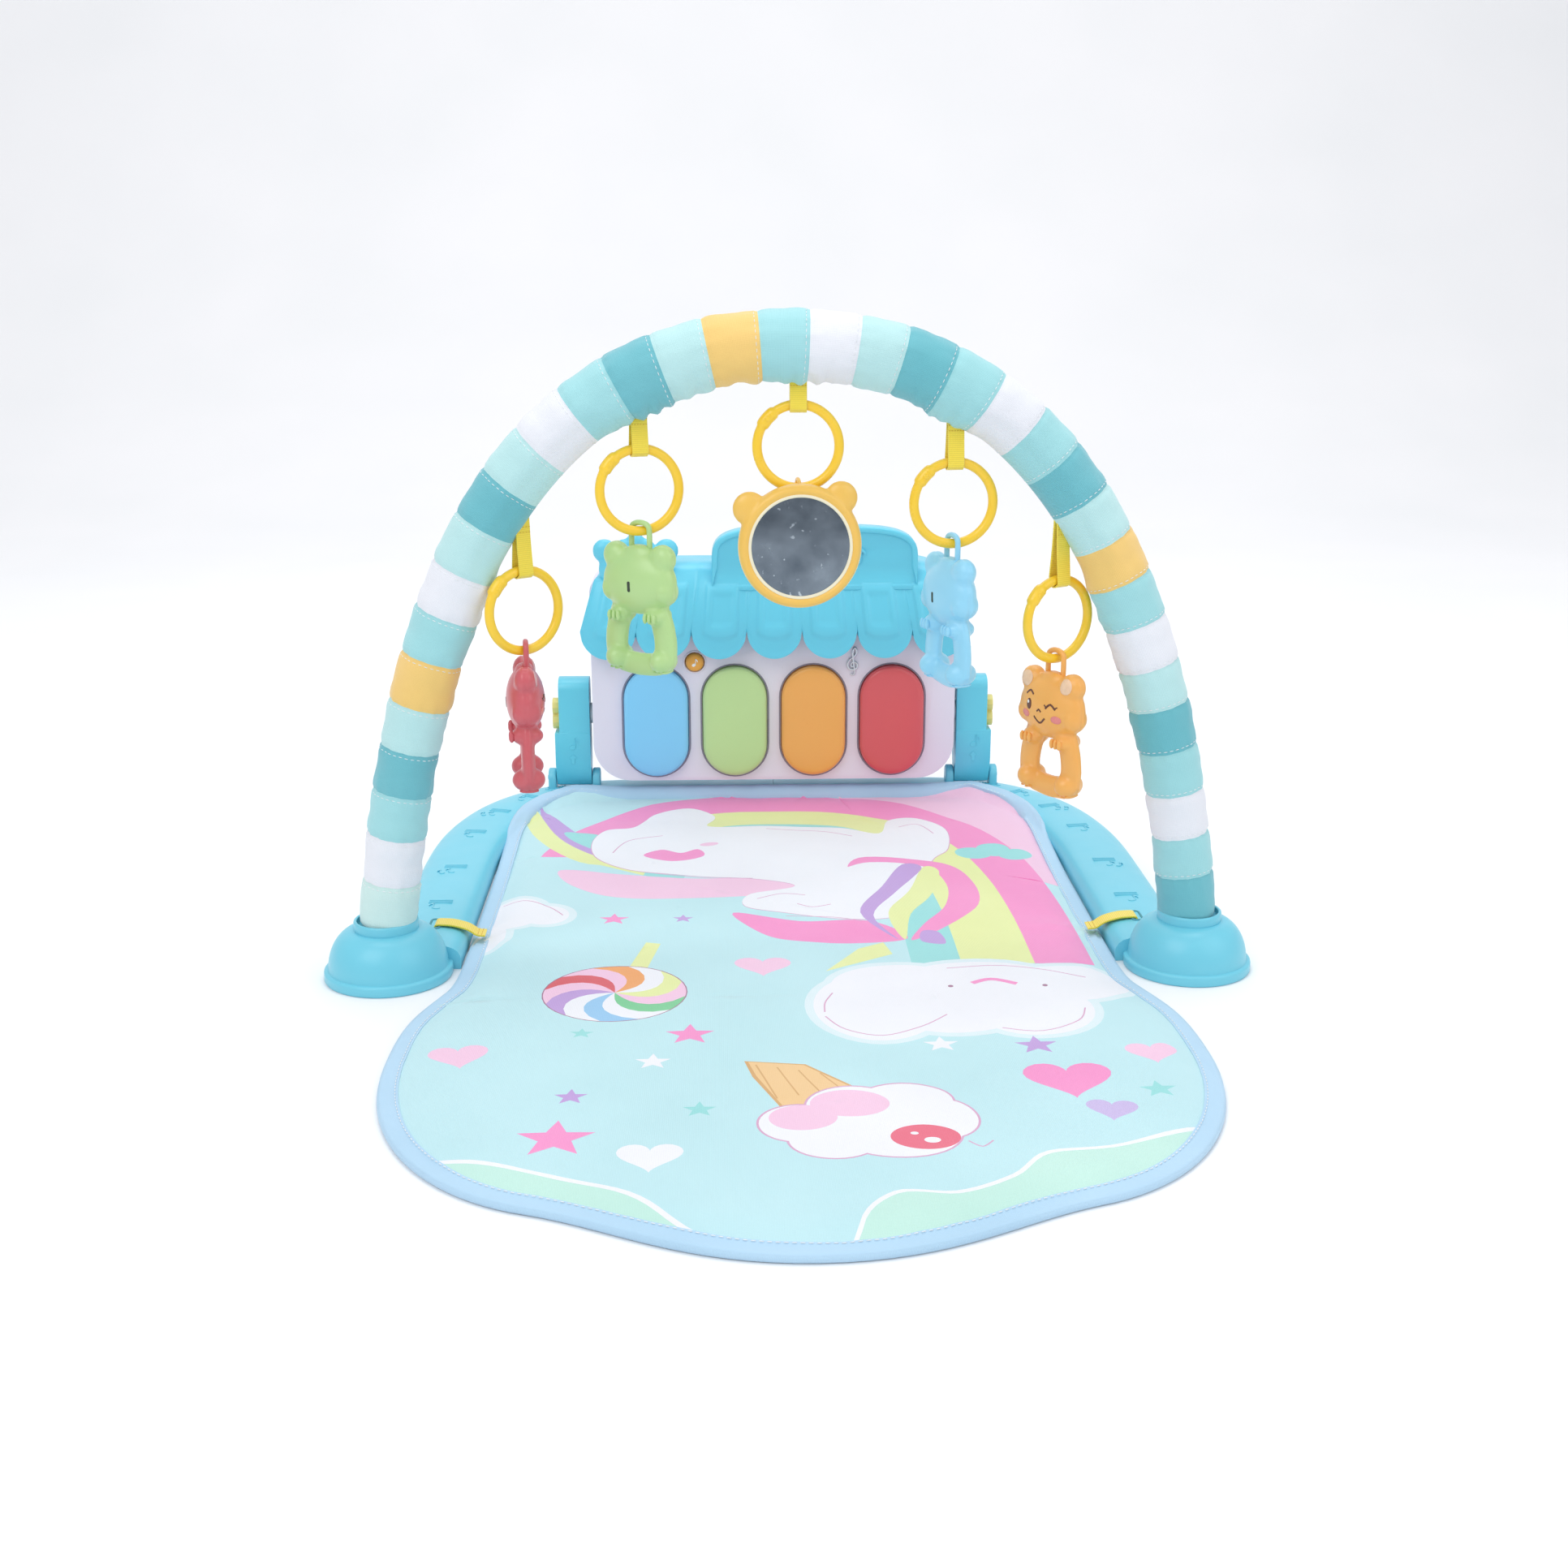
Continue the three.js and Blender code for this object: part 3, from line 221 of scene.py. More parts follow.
def cloth_finish(name, base, attribute=None, thread=0.0009, sheen=0.3, worn=0.94):
    """Plain-woven polyester: crossing threads from the piece's own UV map, slight shading."""
    finish = Finish(name, base, 0.82)
    uv = finish.node("ShaderNodeUVMap", uv_map="weave")
    scale = 0.314 / thread
    warp = finish.wave(uv.outputs["UV"], scale, "X")
    weft = finish.wave(uv.outputs["UV"], scale, "Y")
    weave = finish.sum(warp, weft, "MULTIPLY")
    ground = base
    if attribute:
        ground = finish.node("ShaderNodeVertexColor", layer_name=attribute).outputs["Color"]
    soft = finish.spread(finish.noise(9, 5), 0.0, 1.0)
    lighter = finish.mix(ground, (1, 1, 1, 1), 0.05)
    darker = finish.mix(ground, (worn, worn, worn, 1), 1.0, "MULTIPLY")
    tint = finish.mix(darker, lighter, soft)
    threads = finish.spread(weave, 0.965, 1.0, 0.0, 0.5)
    gray = finish.node("ShaderNodeCombineColor")
    for i in range(3):
        finish.join(threads, gray.inputs[i])
    tint = finish.mix(tint, gray.outputs[0], 1.0, "MULTIPLY")
    finish.join(tint, finish.shader.inputs["Base Color"])
    first = finish.bump(weave, 0.35, 0.0003)
    finish.bump(finish.noise(160, 4), 0.25, 0.0006, first)
    finish.shader.inputs["Sheen Weight"].default_value = sheen
    finish.shader.inputs["Sheen Roughness"].default_value = 0.5
    return finish.material


def webbing_finish(name, base):
    """Satin webbing: fine ribs across the strap and a soft shine."""
    finish = Finish(name, base, 0.42)
    uv = finish.node("ShaderNodeUVMap", uv_map="weave")
    ribs = finish.wave(uv.outputs["UV"], 0.314 / 0.0011, "X")
    lines = finish.wave(uv.outputs["UV"], 0.314 / 0.0007, "Y")
    tint = finish.mix(shade(base, 0.8), base, finish.spread(ribs, 0.25, 1.0, 0, 0.7))
    finish.join(tint, finish.shader.inputs["Base Color"])
    finish.bump(finish.sum(ribs, lines, "MULTIPLY"), 0.5, 0.0003)
    finish.shader.inputs["Sheen Weight"].default_value = 0.35
    return finish.material


def painted_finish(name, base, roughness=0.4):
    """A thin printed or painted layer, a little uneven where the ink pooled. Also the flat
    colours of painted shade in slots, holes and key gaps.
    """
    finish = Finish(name, base, roughness)
    pool = finish.spread(finish.noise(420, 3), 0.0, 1.0)
    finish.join(finish.mix(shade(base, 0.9), base, pool), finish.shader.inputs["Base Color"])
    finish.bump(finish.noise(1900, 2), 0.1, 0.0001)
    return finish.material


def metal_finish(name, base, roughness, scratches=0.1):
    """Plated or polished metal with fine handling marks."""
    finish = Finish(name, base, roughness, 1.0)
    marks = finish.spread(finish.noise(70, 8), roughness, roughness + scratches)
    finish.join(marks, finish.shader.inputs["Roughness"])
    finish.bump(finish.noise(900, 3), 0.05, 0.0001)
    return finish.material


def mirror_finish():
    """Acrylic mirror: a cloudy silver with smudges and a few bright specks."""
    finish = Finish("acrylic_mirror", colour("c3ced4"), 0.12, 1.0)
    smudge = finish.spread(finish.noise(30, 6), 0.0, 1.0, 0.35, 0.65)
    tint = finish.mix(colour("56616c"), colour("8d99a4"), smudge)
    speck = finish.spread(finish.noise(260, 2), 0.0, 1.0, 0.68, 0.72)
    finish.join(finish.mix(tint, colour("b6c1ca"), speck), finish.shader.inputs["Base Color"])
    finish.join(finish.spread(smudge, 0.16, 0.3, 0, 1), finish.shader.inputs["Roughness"])
    finish.bump(finish.noise(24, 3), 0.12, 0.002)
    return finish.material


# ---- tools for meshes ----


def put_piece(name, points, faces, smooth_angle=40):
    """A new object from points in mm (arch frame). The faces are turned to point outwards."""
    mesh = bpy.data.meshes.new(name)
    placed = [(x * MM, y * MM + ARCH_Y, z * MM) for x, y, z in points]
    mesh.from_pydata(placed, [], faces)
    shell = bmesh.new()
    shell.from_mesh(mesh)
    bmesh.ops.remove_doubles(shell, verts=shell.verts, dist=1e-7)
    bmesh.ops.recalc_face_normals(shell, faces=shell.faces)
    shell.to_mesh(mesh)
    shell.free()
    shade_smooth(mesh, smooth_angle)
    made = bpy.data.objects.new(name, mesh)
    bpy.context.scene.collection.objects.link(made)
    return made


def shade_smooth(mesh, angle):
    """Smooth shading up to an angle."""
    mesh.shade_smooth()
    mesh.set_sharp_from_angle(angle=math.radians(angle))


def settle(piece, material, body, slot, *nodes):
    """Gives a finished piece its material and body, and hides the CAD nodes it stands for; slot
    is not used.
    """
    if material is not None:
        piece.data.materials.clear()
        piece.data.materials.append(material)
    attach(piece, body)
    if nodes:
        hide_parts(*nodes)
    return piece


def make_plain(piece):
    """Turns the modified object into a plain mesh and takes its modifiers off."""
    bpy.context.view_layer.update()
    graph = bpy.context.evaluated_depsgraph_get()
    mesh = bpy.data.meshes.new_from_object(piece.evaluated_get(graph), depsgraph=graph)
    piece.modifiers.clear()
    old = piece.data
    piece.data = mesh
    bpy.data.meshes.remove(old)
    mesh.name = piece.name
    return piece


def join_rings(rings, ring_closed=True, capped=True):
    """Points and faces of a skin over equally long rings of points."""
    size = len(rings[0])
    points = [tuple(p) for ring in rings for p in ring]
    faces = []
    last = size if ring_closed else size - 1
    for r in range(len(rings) - 1):
        for i in range(last):
            j = (i + 1) % size
            faces.append((r * size + i, r * size + j, (r + 1) * size + j, (r + 1) * size + i))
    if capped:
        faces.append(tuple(range(size))[::-1])
        faces.append(tuple((len(rings) - 1) * size + i for i in range(size)))
    return points, faces


def merged(*parts):
    """Several (points, faces) pairs as one."""
    points, faces = [], []
    for some_points, some_faces in parts:
        start = len(points)
        points += [tuple(p) for p in some_points]
        faces += [tuple(start + i for i in face) for face in some_faces]
    return points, faces


def turned(profile, steps=72, closed=False):
    """A turned skin about the local Z axis from (radius, height) pairs."""
    rings = []
    for i in range(steps):
        c, s = math.cos(TAU * i / steps), math.sin(TAU * i / steps)
        rings.append([(r * c, r * s, z) for r, z in profile])
    size = len(profile)
    points = [p for ring in rings for p in ring]
    faces = []
    for i in range(steps):
        k = (i + 1) % steps
        for j in range(size if closed else size - 1):
            n = (j + 1) % size
            faces.append((i * size + j, k * size + j, k * size + n, i * size + n))
    return points, faces


def moved(part, matrix):
    points, faces = part
    return [tuple(matrix @ Vector(p)) for p in points], faces


def ball(centre, radii, steps=20):
    """An ellipsoid."""
    points, faces = turned(
        [
            (math.sin(math.pi * i / steps), -math.cos(math.pi * i / steps))
            for i in range(steps + 1)
        ],
        2 * steps,
    )
    cx, cy, cz = centre
    rx, ry, rz = radii
    return [(cx + rx * x, cy + ry * y, cz + rz * z) for x, y, z in points], faces


def tube(path, radius, sides=14, closed=False, flat=1.0, up=(0, 0, 1)):
    """A round or flattened tube along points. radius is a number or one for each point."""
    count = len(path)
    spine = [Vector(p) for p in path]
    rings = []
    for i, point in enumerate(spine):
        before = spine[(i - 1) % count] if closed or i > 0 else point
        after = spine[(i + 1) % count] if closed or i < count - 1 else point
        along = (after - before).normalized()
        side = along.cross(Vector(up))
        if side.length < 1e-4:
            side = along.cross(Vector((1, 0, 0)))
        side.normalize()
        lift = side.cross(along)
        r = radius[i] if hasattr(radius, "__len__") else radius
        ring = []
        for k in range(sides):
            c, s = math.cos(TAU * k / sides), math.sin(TAU * k / sides)
            ring.append(tuple(point + side * (r * c) + lift * (r * flat * s)))
        rings.append(ring)
    if closed:
        rings.append(rings[0])
    return join_rings(rings, True, not closed)


def smooth_loop(points, steps=6, closed=True):
    """A smooth curve through the points (Catmull and Rom's)."""
    count = len(points)
    given = [np.array(p, float) for p in points]
    out = []
    spans = count if closed else count - 1
    for i in range(spans):
        if closed:
            a, b, c, d = (given[(i + k) % count] for k in (-1, 0, 1, 2))
        else:
            a = given[max(i - 1, 0)]
            b, c = given[i], given[i + 1]
            d = given[min(i + 2, count - 1)]
        for k in range(steps):
            t = k / steps
            out.append(
                0.5 * (
                    2 * b + (c - a) * t + (
                        2 * a - 5 * b + 4 * c - d
                    ) * t * t + (3 * b - a - 3 * c + d) * t**3
                )
            )
    if not closed:
        out.append(given[-1])
    return [tuple(p) for p in out]


def rounded_box_outline(half, low, high, low_r, high_r, steps=8):
    """A rounded rectangle as points (a, b), anticlockwise."""
    corners = [
        (half - low_r, low + low_r, low_r, -90),
        (half - high_r, high - high_r, high_r, 0),
        (-half + high_r, high - high_r, high_r, 90),
        (-half + low_r, low + low_r, low_r, 180),
    ]
    out = []
    for a, b, r, start in corners:
        for i in range(steps + 1):
            angle = math.radians(start + 90 * i / steps)
            out.append((a + r * math.cos(angle), b + r * math.sin(angle)))
    return out


def inset(outline, depth):
    """The outline moved inwards by depth along its own normals."""
    points = np.array(outline, float)
    before, after = np.roll(points, 1, 0), np.roll(points, -1, 0)
    along = after - before
    along /= np.maximum(np.linalg.norm(along, axis=1)[:, None], 1e-9)
    return [tuple(p) for p in points + depth * np.stack([-along[:, 1], along[:, 0]], 1)]


def stepped_relief(outline, steps):
    """A solid on an outline in x and z: steps are (inset, y) pairs from the back to the front."""
    rings = [[(x, y, z) for x, z in inset(outline, depth)] for depth, y in steps]
    return join_rings(rings)


def soft_joined(name, parts, voxel, rounds):
    """Overlapping parts melted into one skin."""
    lump = put_piece(name, *merged(*parts))
    melt = lump.modifiers.new("melt", "REMESH")
    melt.mode = "VOXEL"
    melt.voxel_size = voxel * MM
    calm = lump.modifiers.new("calm", "SMOOTH")
    calm.factor = 0.5
    calm.iterations = rounds
    make_plain(lump)
    shade_smooth(lump.data, 60)
    return lump


def bend_inside(values, low, high):
    """Smooth 0 to 1 as values go from low to high."""
    t = np.clip((np.asarray(values, float) - low) / (high - low), 0, 1)
    return t * t * (3 - 2 * t)


# ---- camera, light and floor ----


def set_camera():
    """The camera at the viewing angle."""
    camera = bpy.data.objects.new("camera", bpy.data.cameras.new("camera"))
    bpy.context.scene.collection.objects.link(camera)
    camera.data.lens = 42.86
    camera.data.sensor_width = 36
    camera.data.clip_end = 20
    camera.location = (-0.0402, ARCH_Y - 1.0546, 0.4169)
    camera.rotation_euler = (math.radians(90 - 15.879), 0, math.radians(-1.972))
    bpy.context.scene.camera = camera


def area_light(name, place, aim, size, power):
    """A square soft light."""
    lamp = bpy.data.lights.new(name, "AREA")
    lamp.shape = "SQUARE"
    lamp.size = size
    lamp.energy = power
    made = bpy.data.objects.new(name, lamp)
    bpy.context.scene.collection.objects.link(made)
    made.location = place
    made.rotation_euler = (Vector(aim) - Vector(place)).to_track_quat("-Z", "Y").to_euler()


def set_studio():
    """World, soft lights and the curved pale floor."""
    bpy.context.scene.view_settings.view_transform = "Standard"
    world = bpy.data.worlds.new("studio")
    world.use_nodes = True
    world.node_tree.nodes["Background"].inputs["Color"].default_value = (0.95, 0.96, 1.0, 1)
    world.node_tree.nodes["Background"].inputs["Strength"].default_value = 0.64
    bpy.context.scene.world = world
    area_light("key_light", (-1.1, -1.5, 1.9), (0, 0, 0.1), 1.6, 18)
    area_light("fill_light", (1.5, -1.0, 1.5), (0, 0, 0.1), 1.8, 9.5)
    area_light("top_light", (0.1, 0.6, 2.1), (0, 0.1, 0), 1.6, 11)
    area_light("backdrop_light", (0, 0.4, 3.0), (0, 3.1, 1.3), 2.0, 26)
    mesh = bpy.data.meshes.new("floor")
    profile = [(-9, 0), (1.6, 0)]
    profile += [
        (1.6 + 1.5 * math.sin(math.radians(a)), 1.5 - 1.5 * math.cos(math.radians(a)))
        for a in range(9, 91, 9)
    ]
    profile.append((3.1, 9))
    points = [(x, y, z) for y, z in profile for x in (-9, 9)]
    faces = [(2 * i, 2 * i + 1, 2 * i + 3, 2 * i + 2) for i in range(len(profile) - 1)]
    mesh.from_pydata(points, [], faces)
    mesh.shade_smooth()
    floor = bpy.data.objects.new("floor", mesh)
    bpy.context.scene.collection.objects.link(floor)
    paper = Finish("studio_paper", colour("f6f7f8"), 0.9)
    tone = paper.spread(paper.noise(3, 2), 0.0, 1.0)
    paper.join(
        paper.mix(colour("f4f5f6"), colour("f8f8f9"), tone), paper.shader.inputs["Base Color"]
    )
    mesh.materials.append(paper.material)


# ---- stitches: short raised threads along a path ----


def stitch_tree():
    tree = bpy.data.node_groups.new("run_of_stitches", "GeometryNodeTree")
    face = tree.interface
    face.new_socket("Geometry", in_out="INPUT", socket_type="NodeSocketGeometry")
    for label, value in (("Pitch", 0.004), ("Stitch length", 0.003), ("Thread width", 0.0006)):
        socket = face.new_socket(label, in_out="INPUT", socket_type="NodeSocketFloat")
        socket.default_value = value
    face.new_socket("Thread", in_out="INPUT", socket_type="NodeSocketMaterial")
    face.new_socket("Geometry", in_out="OUTPUT", socket_type="NodeSocketGeometry")
    nodes, links = tree.nodes, tree.links
    source = nodes.new("NodeGroupInput")
    result = nodes.new("NodeGroupOutput")
    line = nodes.new("GeometryNodeMeshToCurve")
    steps = nodes.new("GeometryNodeResampleCurve")
    steps.mode = "LENGTH"
    bead = nodes.new("GeometryNodeMeshUVSphere")
    bead.inputs["Segments"].default_value = 8
    bead.inputs["Rings"].default_value = 4
    bead.inputs["Radius"].default_value = 0.5
    spread = nodes.new("GeometryNodeInstanceOnPoints")
    tangent = nodes.new("GeometryNodeInputTangent")
    align = nodes.new("FunctionNodeAlignRotationToVector")
    align.axis = "X"
    size = nodes.new("ShaderNodeCombineXYZ")
    real = nodes.new("GeometryNodeRealizeInstances")
    thread = nodes.new("GeometryNodeSetMaterial")
    links.new(source.outputs["Geometry"], line.inputs["Mesh"])
    links.new(line.outputs["Curve"], steps.inputs["Curve"])
    links.new(source.outputs["Pitch"], steps.inputs["Length"])
    links.new(steps.outputs["Curve"], spread.inputs["Points"])
    links.new(bead.outputs["Mesh"], spread.inputs["Instance"])
    links.new(tangent.outputs["Tangent"], align.inputs["Vector"])
    links.new(align.outputs["Rotation"], spread.inputs["Rotation"])
    links.new(source.outputs["Stitch length"], size.inputs["X"])
    links.new(source.outputs["Thread width"], size.inputs["Y"])
    links.new(source.outputs["Thread width"], size.inputs["Z"])
    links.new(size.outputs["Vector"], spread.inputs["Scale"])
    links.new(spread.outputs["Instances"], real.inputs["Geometry"])
    links.new(real.outputs["Geometry"], thread.inputs["Geometry"])
    links.new(source.outputs["Thread"], thread.inputs["Material"])
    links.new(thread.outputs["Geometry"], result.inputs["Geometry"])
    return tree


def input_key(tree, label):
    """The identifier of a tree's named input."""
    for item in tree.interface.items_tree:
        if item.name == label and item.in_out == "INPUT":
            return item.identifier
    raise KeyError(label)


def stitch_lines(name, lines, material, pitch=4.2, length=3.0, width=0.55):
    """Stitches along one or more lines of points in mm. A line is (points, closed)."""
    points, edges = [], []
    for line, closed in lines:
        start = len(points)
        points += line
        edges += [(start + i, start + i + 1) for i in range(len(line) - 1)]
        if closed:
            edges.append((start + len(line) - 1, start))
    mesh = bpy.data.meshes.new(name)
    mesh.from_pydata([(x * MM, y * MM + ARCH_Y, z * MM) for x, y, z in points], edges, [])
    made = bpy.data.objects.new(name, mesh)
    bpy.context.scene.collection.objects.link(made)
    run = made.modifiers.new("stitches", "NODES")
    run.node_group = STITCH_TREE
    run[input_key(STITCH_TREE, "Pitch")] = pitch * MM
    run[input_key(STITCH_TREE, "Stitch length")] = length * MM
    run[input_key(STITCH_TREE, "Thread width")] = width * MM
    run[input_key(STITCH_TREE, "Thread")] = material
    make_plain(made)
    made.data.shade_smooth()
    return made


# ---- arch sleeve: sewn bands of cloth over foam ----

ARCH_FOOT = (DOME_X + 1, 10)
ARCH_KNEE = (ARCH_FOOT[0] - 21, 230)
ARCH_SHOULDER = 150
BAND_COUNT = 34
BANDS = {
    "p": colour("cfeeea"), "w": colour("eef1f8"), "a": colour("9fdde2"), "t": colour("66bdc9"),
    "l": colour("bce9ea"), "y": colour("f8cf74"),
}
# Colours of the bands from the left foot to the right foot.
BAND_ORDER = "pwatlyawltlwatlya" + "wltawatlyawltawat"


def arch_point(share):
    """Centre of the arch at a share of the way from the left foot to the right one."""
    t = abs(2 * share - 1)
    sign = -1 if share < 0.5 else 1
    knots = [(0, CROWN_Z), (ARCH_SHOULDER, CROWN_Z), ARCH_KNEE, ARCH_FOOT]
    weights = ((1 - t) ** 3, 3 * t * (1 - t) ** 2, 3 * t * t * (1 - t), t**3)
    x = sum(w * k[0] for w, k in zip(weights, knots))
    z = sum(w * k[1] for w, k in zip(weights, knots))
    return sign * x, z


def arch_centres(count):
    """Evenly spaced centres along the arch between the two dome collars, with their lengths."""
    fine = np.array([arch_point(i / 3000) for i in range(3001)])
    fine = fine[(fine[:, 1] > DOME_TOP - 2.5)]
    run = np.concatenate([[0], np.cumsum(np.linalg.norm(np.diff(fine, axis=0), axis=1))])
    wanted = np.linspace(0, run[-1], count)
    return (
        np.stack([np.interp(wanted, run, fine[:, 0]), np.interp(wanted, run, fine[:, 1])], 1),
        wanted,
    )


def sleeve_radius(length, whole, angle, seams, loops):
    """How far the cloth stands from the arch's centre. angle 0 faces out of the arch."""
    share = length / whole
    high = bend_inside(min(share, 1 - share), 0.06, 0.34)
    radius = 16.9 + 2.3 * high
    near = min(range(len(seams)), key=lambda k: abs(seams[k] - length))
    gap = abs(seams[near] - length)
    radius -= 0.8 * math.exp(-((gap / 1.3) ** 2))
    count = 9 + near * 7 % 5
    ripple = math.sin(count * angle + near * 2.1) + 0.6 * math.sin(2 * count * angle + near)
    radius += 0.32 * ripple * math.exp(-gap / 6)
    radius += 0.35 * math.exp(-(((gap - 6) / 5) ** 2))
    inner = max(0.0, -math.cos(angle)) ** 1.5
    gathers = noise.noise(Vector((length * 0.16, angle * 1.1, 3.0)))
    radius += 1.5 * gathers * inner * (0.35 + 0.65 * high)
    for place in loops:
        pull = math.exp(-(((length - place) / 14) ** 2)) * inner
        fold = math.sin((length - place) * 0.62) * math.exp(-(((length - place) / 20) ** 2))
        radius += 1.9 * pull + 0.9 * fold * inner
    radius += 0.9 * noise.noise(Vector((length * 0.045, math.cos(angle), math.sin(angle))))
    radius += 0.3 * noise.noise(Vector((length * 0.2, 3 * math.cos(angle), 3 * math.sin(angle))))
    end = min(length, whole - length)
    radius -= 0.5 * math.exp(-((end / 3) ** 2))
    closing = math.exp(-((((angle - 2.4) * radius) / 1.4) ** 2))
    radius += 0.5 * closing
    for place in (loops[0], loops[-1]):
        away = float(bend_inside(abs(length - place), 48, 85))
        radius = min(radius, 15.2 + 2.0 * high + 6 * away + 6 * max(0.0, 0.35 + math.cos(angle)))
    return radius


def make_sleeve():
    """The sewn sleeve, its coloured bands and its seam stitches."""
    around = 64
    along = BAND_COUNT * 14 + 1
    centres, lengths = arch_centres(along)
    whole = lengths[-1]
    half_bands = BAND_COUNT // 2
    middle_ring = int(np.argmin(np.abs(centres[:, 0] - 10)))
    seam_rings = [round(middle_ring * (i + 1) / half_bands) for i in range(half_bands)]
    right_rings = along - 1 - middle_ring
    seam_rings += [
        middle_ring + round(right_rings * (i + 1) / half_bands)
        for i in range(half_bands - 1)
    ]
    seams = [lengths[r] for r in seam_rings]
    loops = []
    for k in range(1, 6):
        x = middle(f"hang_loop_{k}").x / MM
        loops.append(lengths[int(np.argmin(np.abs(centres[:, 0] - x) - 0.001 * centres[:, 1]))])
    rings = []
    for i in range(along):
        ahead = centres[min(i + 1, along - 1)] - centres[max(i - 1, 0)]
        ahead /= np.linalg.norm(ahead)
        out = np.array([-ahead[1], ahead[0]])
        ring = []
        for k in range(around):
            angle = TAU * k / around
            r = sleeve_radius(lengths[i], whole, angle, seams, loops)
            c, s = r * math.cos(angle), r * math.sin(angle)
            ring.append((centres[i][0] + out[0] * c, s, centres[i][1] + out[1] * c))
        rings.append(ring)
    bore = TUBE_R + 0.8

    def bored(ring, centre):
        flat = [Vector(p) - Vector((centre[0], 0, centre[1])) for p in ring]
        return [tuple(Vector((centre[0], 0, centre[1])) + p.normalized() * bore) for p in flat]

    first, last = bored(rings[0], centres[0]), bored(rings[-1], centres[-1])
    skin = [first] + rings + [last]
    inside = [bored(rings[i], centres[i]) for i in range(along - 1, -1, -8)]
    points, faces = join_rings(skin + inside[1:-1] + [first], True, False)
    sleeve = put_piece("arch_sleeve_cloth", points, faces, 70)
    tints = sleeve.data.color_attributes.new(name="bands", type="FLOAT_COLOR", domain="CORNER")
    uv = sleeve.data.uv_layers.new(name="weave")
    path = centres * MM
    for face in sleeve.data.polygons:
        row = face.index // around
        near = min(max(row - 1, 0), along - 1)
        if row > along:
            here = np.array([face.center.x, face.center.z])
            near = int(np.argmin(((path - here) ** 2).sum(1)))
        band = sum(1 for ring in seam_rings if ring <= near)
        tint = BANDS[BAND_ORDER[band]]
        ahead = path[min(near + 1, along - 1)] - path[max(near - 1, 0)]
        ahead = ahead / np.linalg.norm(ahead)
        for loop in face.loop_indices:
            tints.data[loop].color = tint
            co = sleeve.data.vertices[sleeve.data.loops[loop].vertex_index].co
            offset = np.array([co.x, co.z]) - path[near]
            run = lengths[near] * MM + float(offset @ ahead)
            out = float(offset @ np.array([-ahead[1], ahead[0]]))
            angle = math.atan2(co.y - ARCH_Y, out)
            if angle < -3.0 and face.center.y > ARCH_Y:
                angle += TAU
            uv.data[loop].uv = (angle * 0.018, run)
    settle(sleeve, FABRIC_SLEEVE, "base", "sleeve_fabric", "arch_sleeve")
    lines = []
    for s in seams:
        i = int(np.argmin(np.abs(lengths - s)))
        for shift in (-2.2,):
            at = lengths[i] + shift
            centre = [
                np.interp(at, lengths, centres[:, 0]), np.interp(at, lengths, centres[:, 1])
            ]
            ahead = centres[i + 1] - centres[i - 1]
            ahead /= np.linalg.norm(ahead)
            out = np.array([-ahead[1], ahead[0]])
            line = []
            for k in range(around):
                angle = TAU * k / around
                r = sleeve_radius(at, whole, angle, seams, loops) + 0.05
                c, q = r * math.cos(angle), r * math.sin(angle)
                line.append((centre[0] + out[0] * c, q, centre[1] + out[1] * c))
            lines.append((line, True))
    thread = stitch_lines("sleeve_stitches", lines, THREAD_PALE, 3.6, 2.4, 0.42)
    settle(thread, None, "base", "sleeve_fabric")


# ---- mat: printed top, padded body, binding and stitches ----

PRINTS = {
    "ground": colour("bfe8ee"), "mint": colour("c2ecdf"), "white": colour("f3f4fa"),
    "halo": colour("dff1f6"), "line": colour("d9a3c6"), "pink": colour("f78fca"),
    "rose": colour("f6c9e4"), "lime": colour("e8f0a4"), "aqua": colour("95dedd"),
    "violet": colour("c09bdb"), "lilac": colour("c9b7e6"), "red": colour("dd4f5b"),
    "cherry": colour("e9607c"), "sky": colour("94c9f0"), "leaf": colour("74cd92"),
    "sand": colour("f2c98c"), "tan": colour("d9a765"), "amber": colour("f3a45a"),
    "dark": colour("a36a8c"),
}


def oval(cx, cy, rx, ry, turn=0, steps=36):
    c, s = math.cos(math.radians(turn)), math.sin(math.radians(turn))
    out = []
    for i in range(steps):
        x, y = rx * math.cos(TAU * i / steps), ry * math.sin(TAU * i / steps)
        out.append((cx + x * c - y * s, cy + x * s + y * c))
    return out


def star(cx, cy, size, turn=18):
    out = []
    for i in range(10):
        r = size if i % 2 == 0 else size * 0.42
        angle = math.radians(turn + 36 * i)
        out.append((cx + r * math.cos(angle), cy + r * math.sin(angle)))
    return out


def heart(cx, cy, size, turn=0):
    c, s = math.cos(math.radians(turn)), math.sin(math.radians(turn))
    out = []
    for i in range(36):
        t = TAU * i / 36
        x = 16 * math.sin(t) ** 3
        y = 13 * math.cos(t) - 5 * math.cos(2 * t) - 2 * math.cos(3 * t) - math.cos(4 * t)
        x, y = x * size / 16, y * size / 16
        out.append((cx + x * c - y * s, cy + x * s + y * c))
    return out


def drawn_line(points, width=0.9, steps=5):
    """A pen line of even width through points."""
    line = [np.array(p) for p in smooth_loop([(x, y, 0) for x, y in points], steps, False)]
    left, right = [], []
    for i, p in enumerate(line):
        along = line[min(i + 1, len(line) - 1)] - line[max(i - 1, 0)]
        along = along / max(np.linalg.norm(along), 1e-9)
        side = np.array([-along[1], along[0]]) * width / 2
        left.append(tuple(p[:2] + side))
        right.append(tuple(p[:2] - side))
    return left + right[::-1]


def flowing(points, steps=6):
    return [p[:2] for p in smooth_loop([(x, y, 0) for x, y in points], steps)]


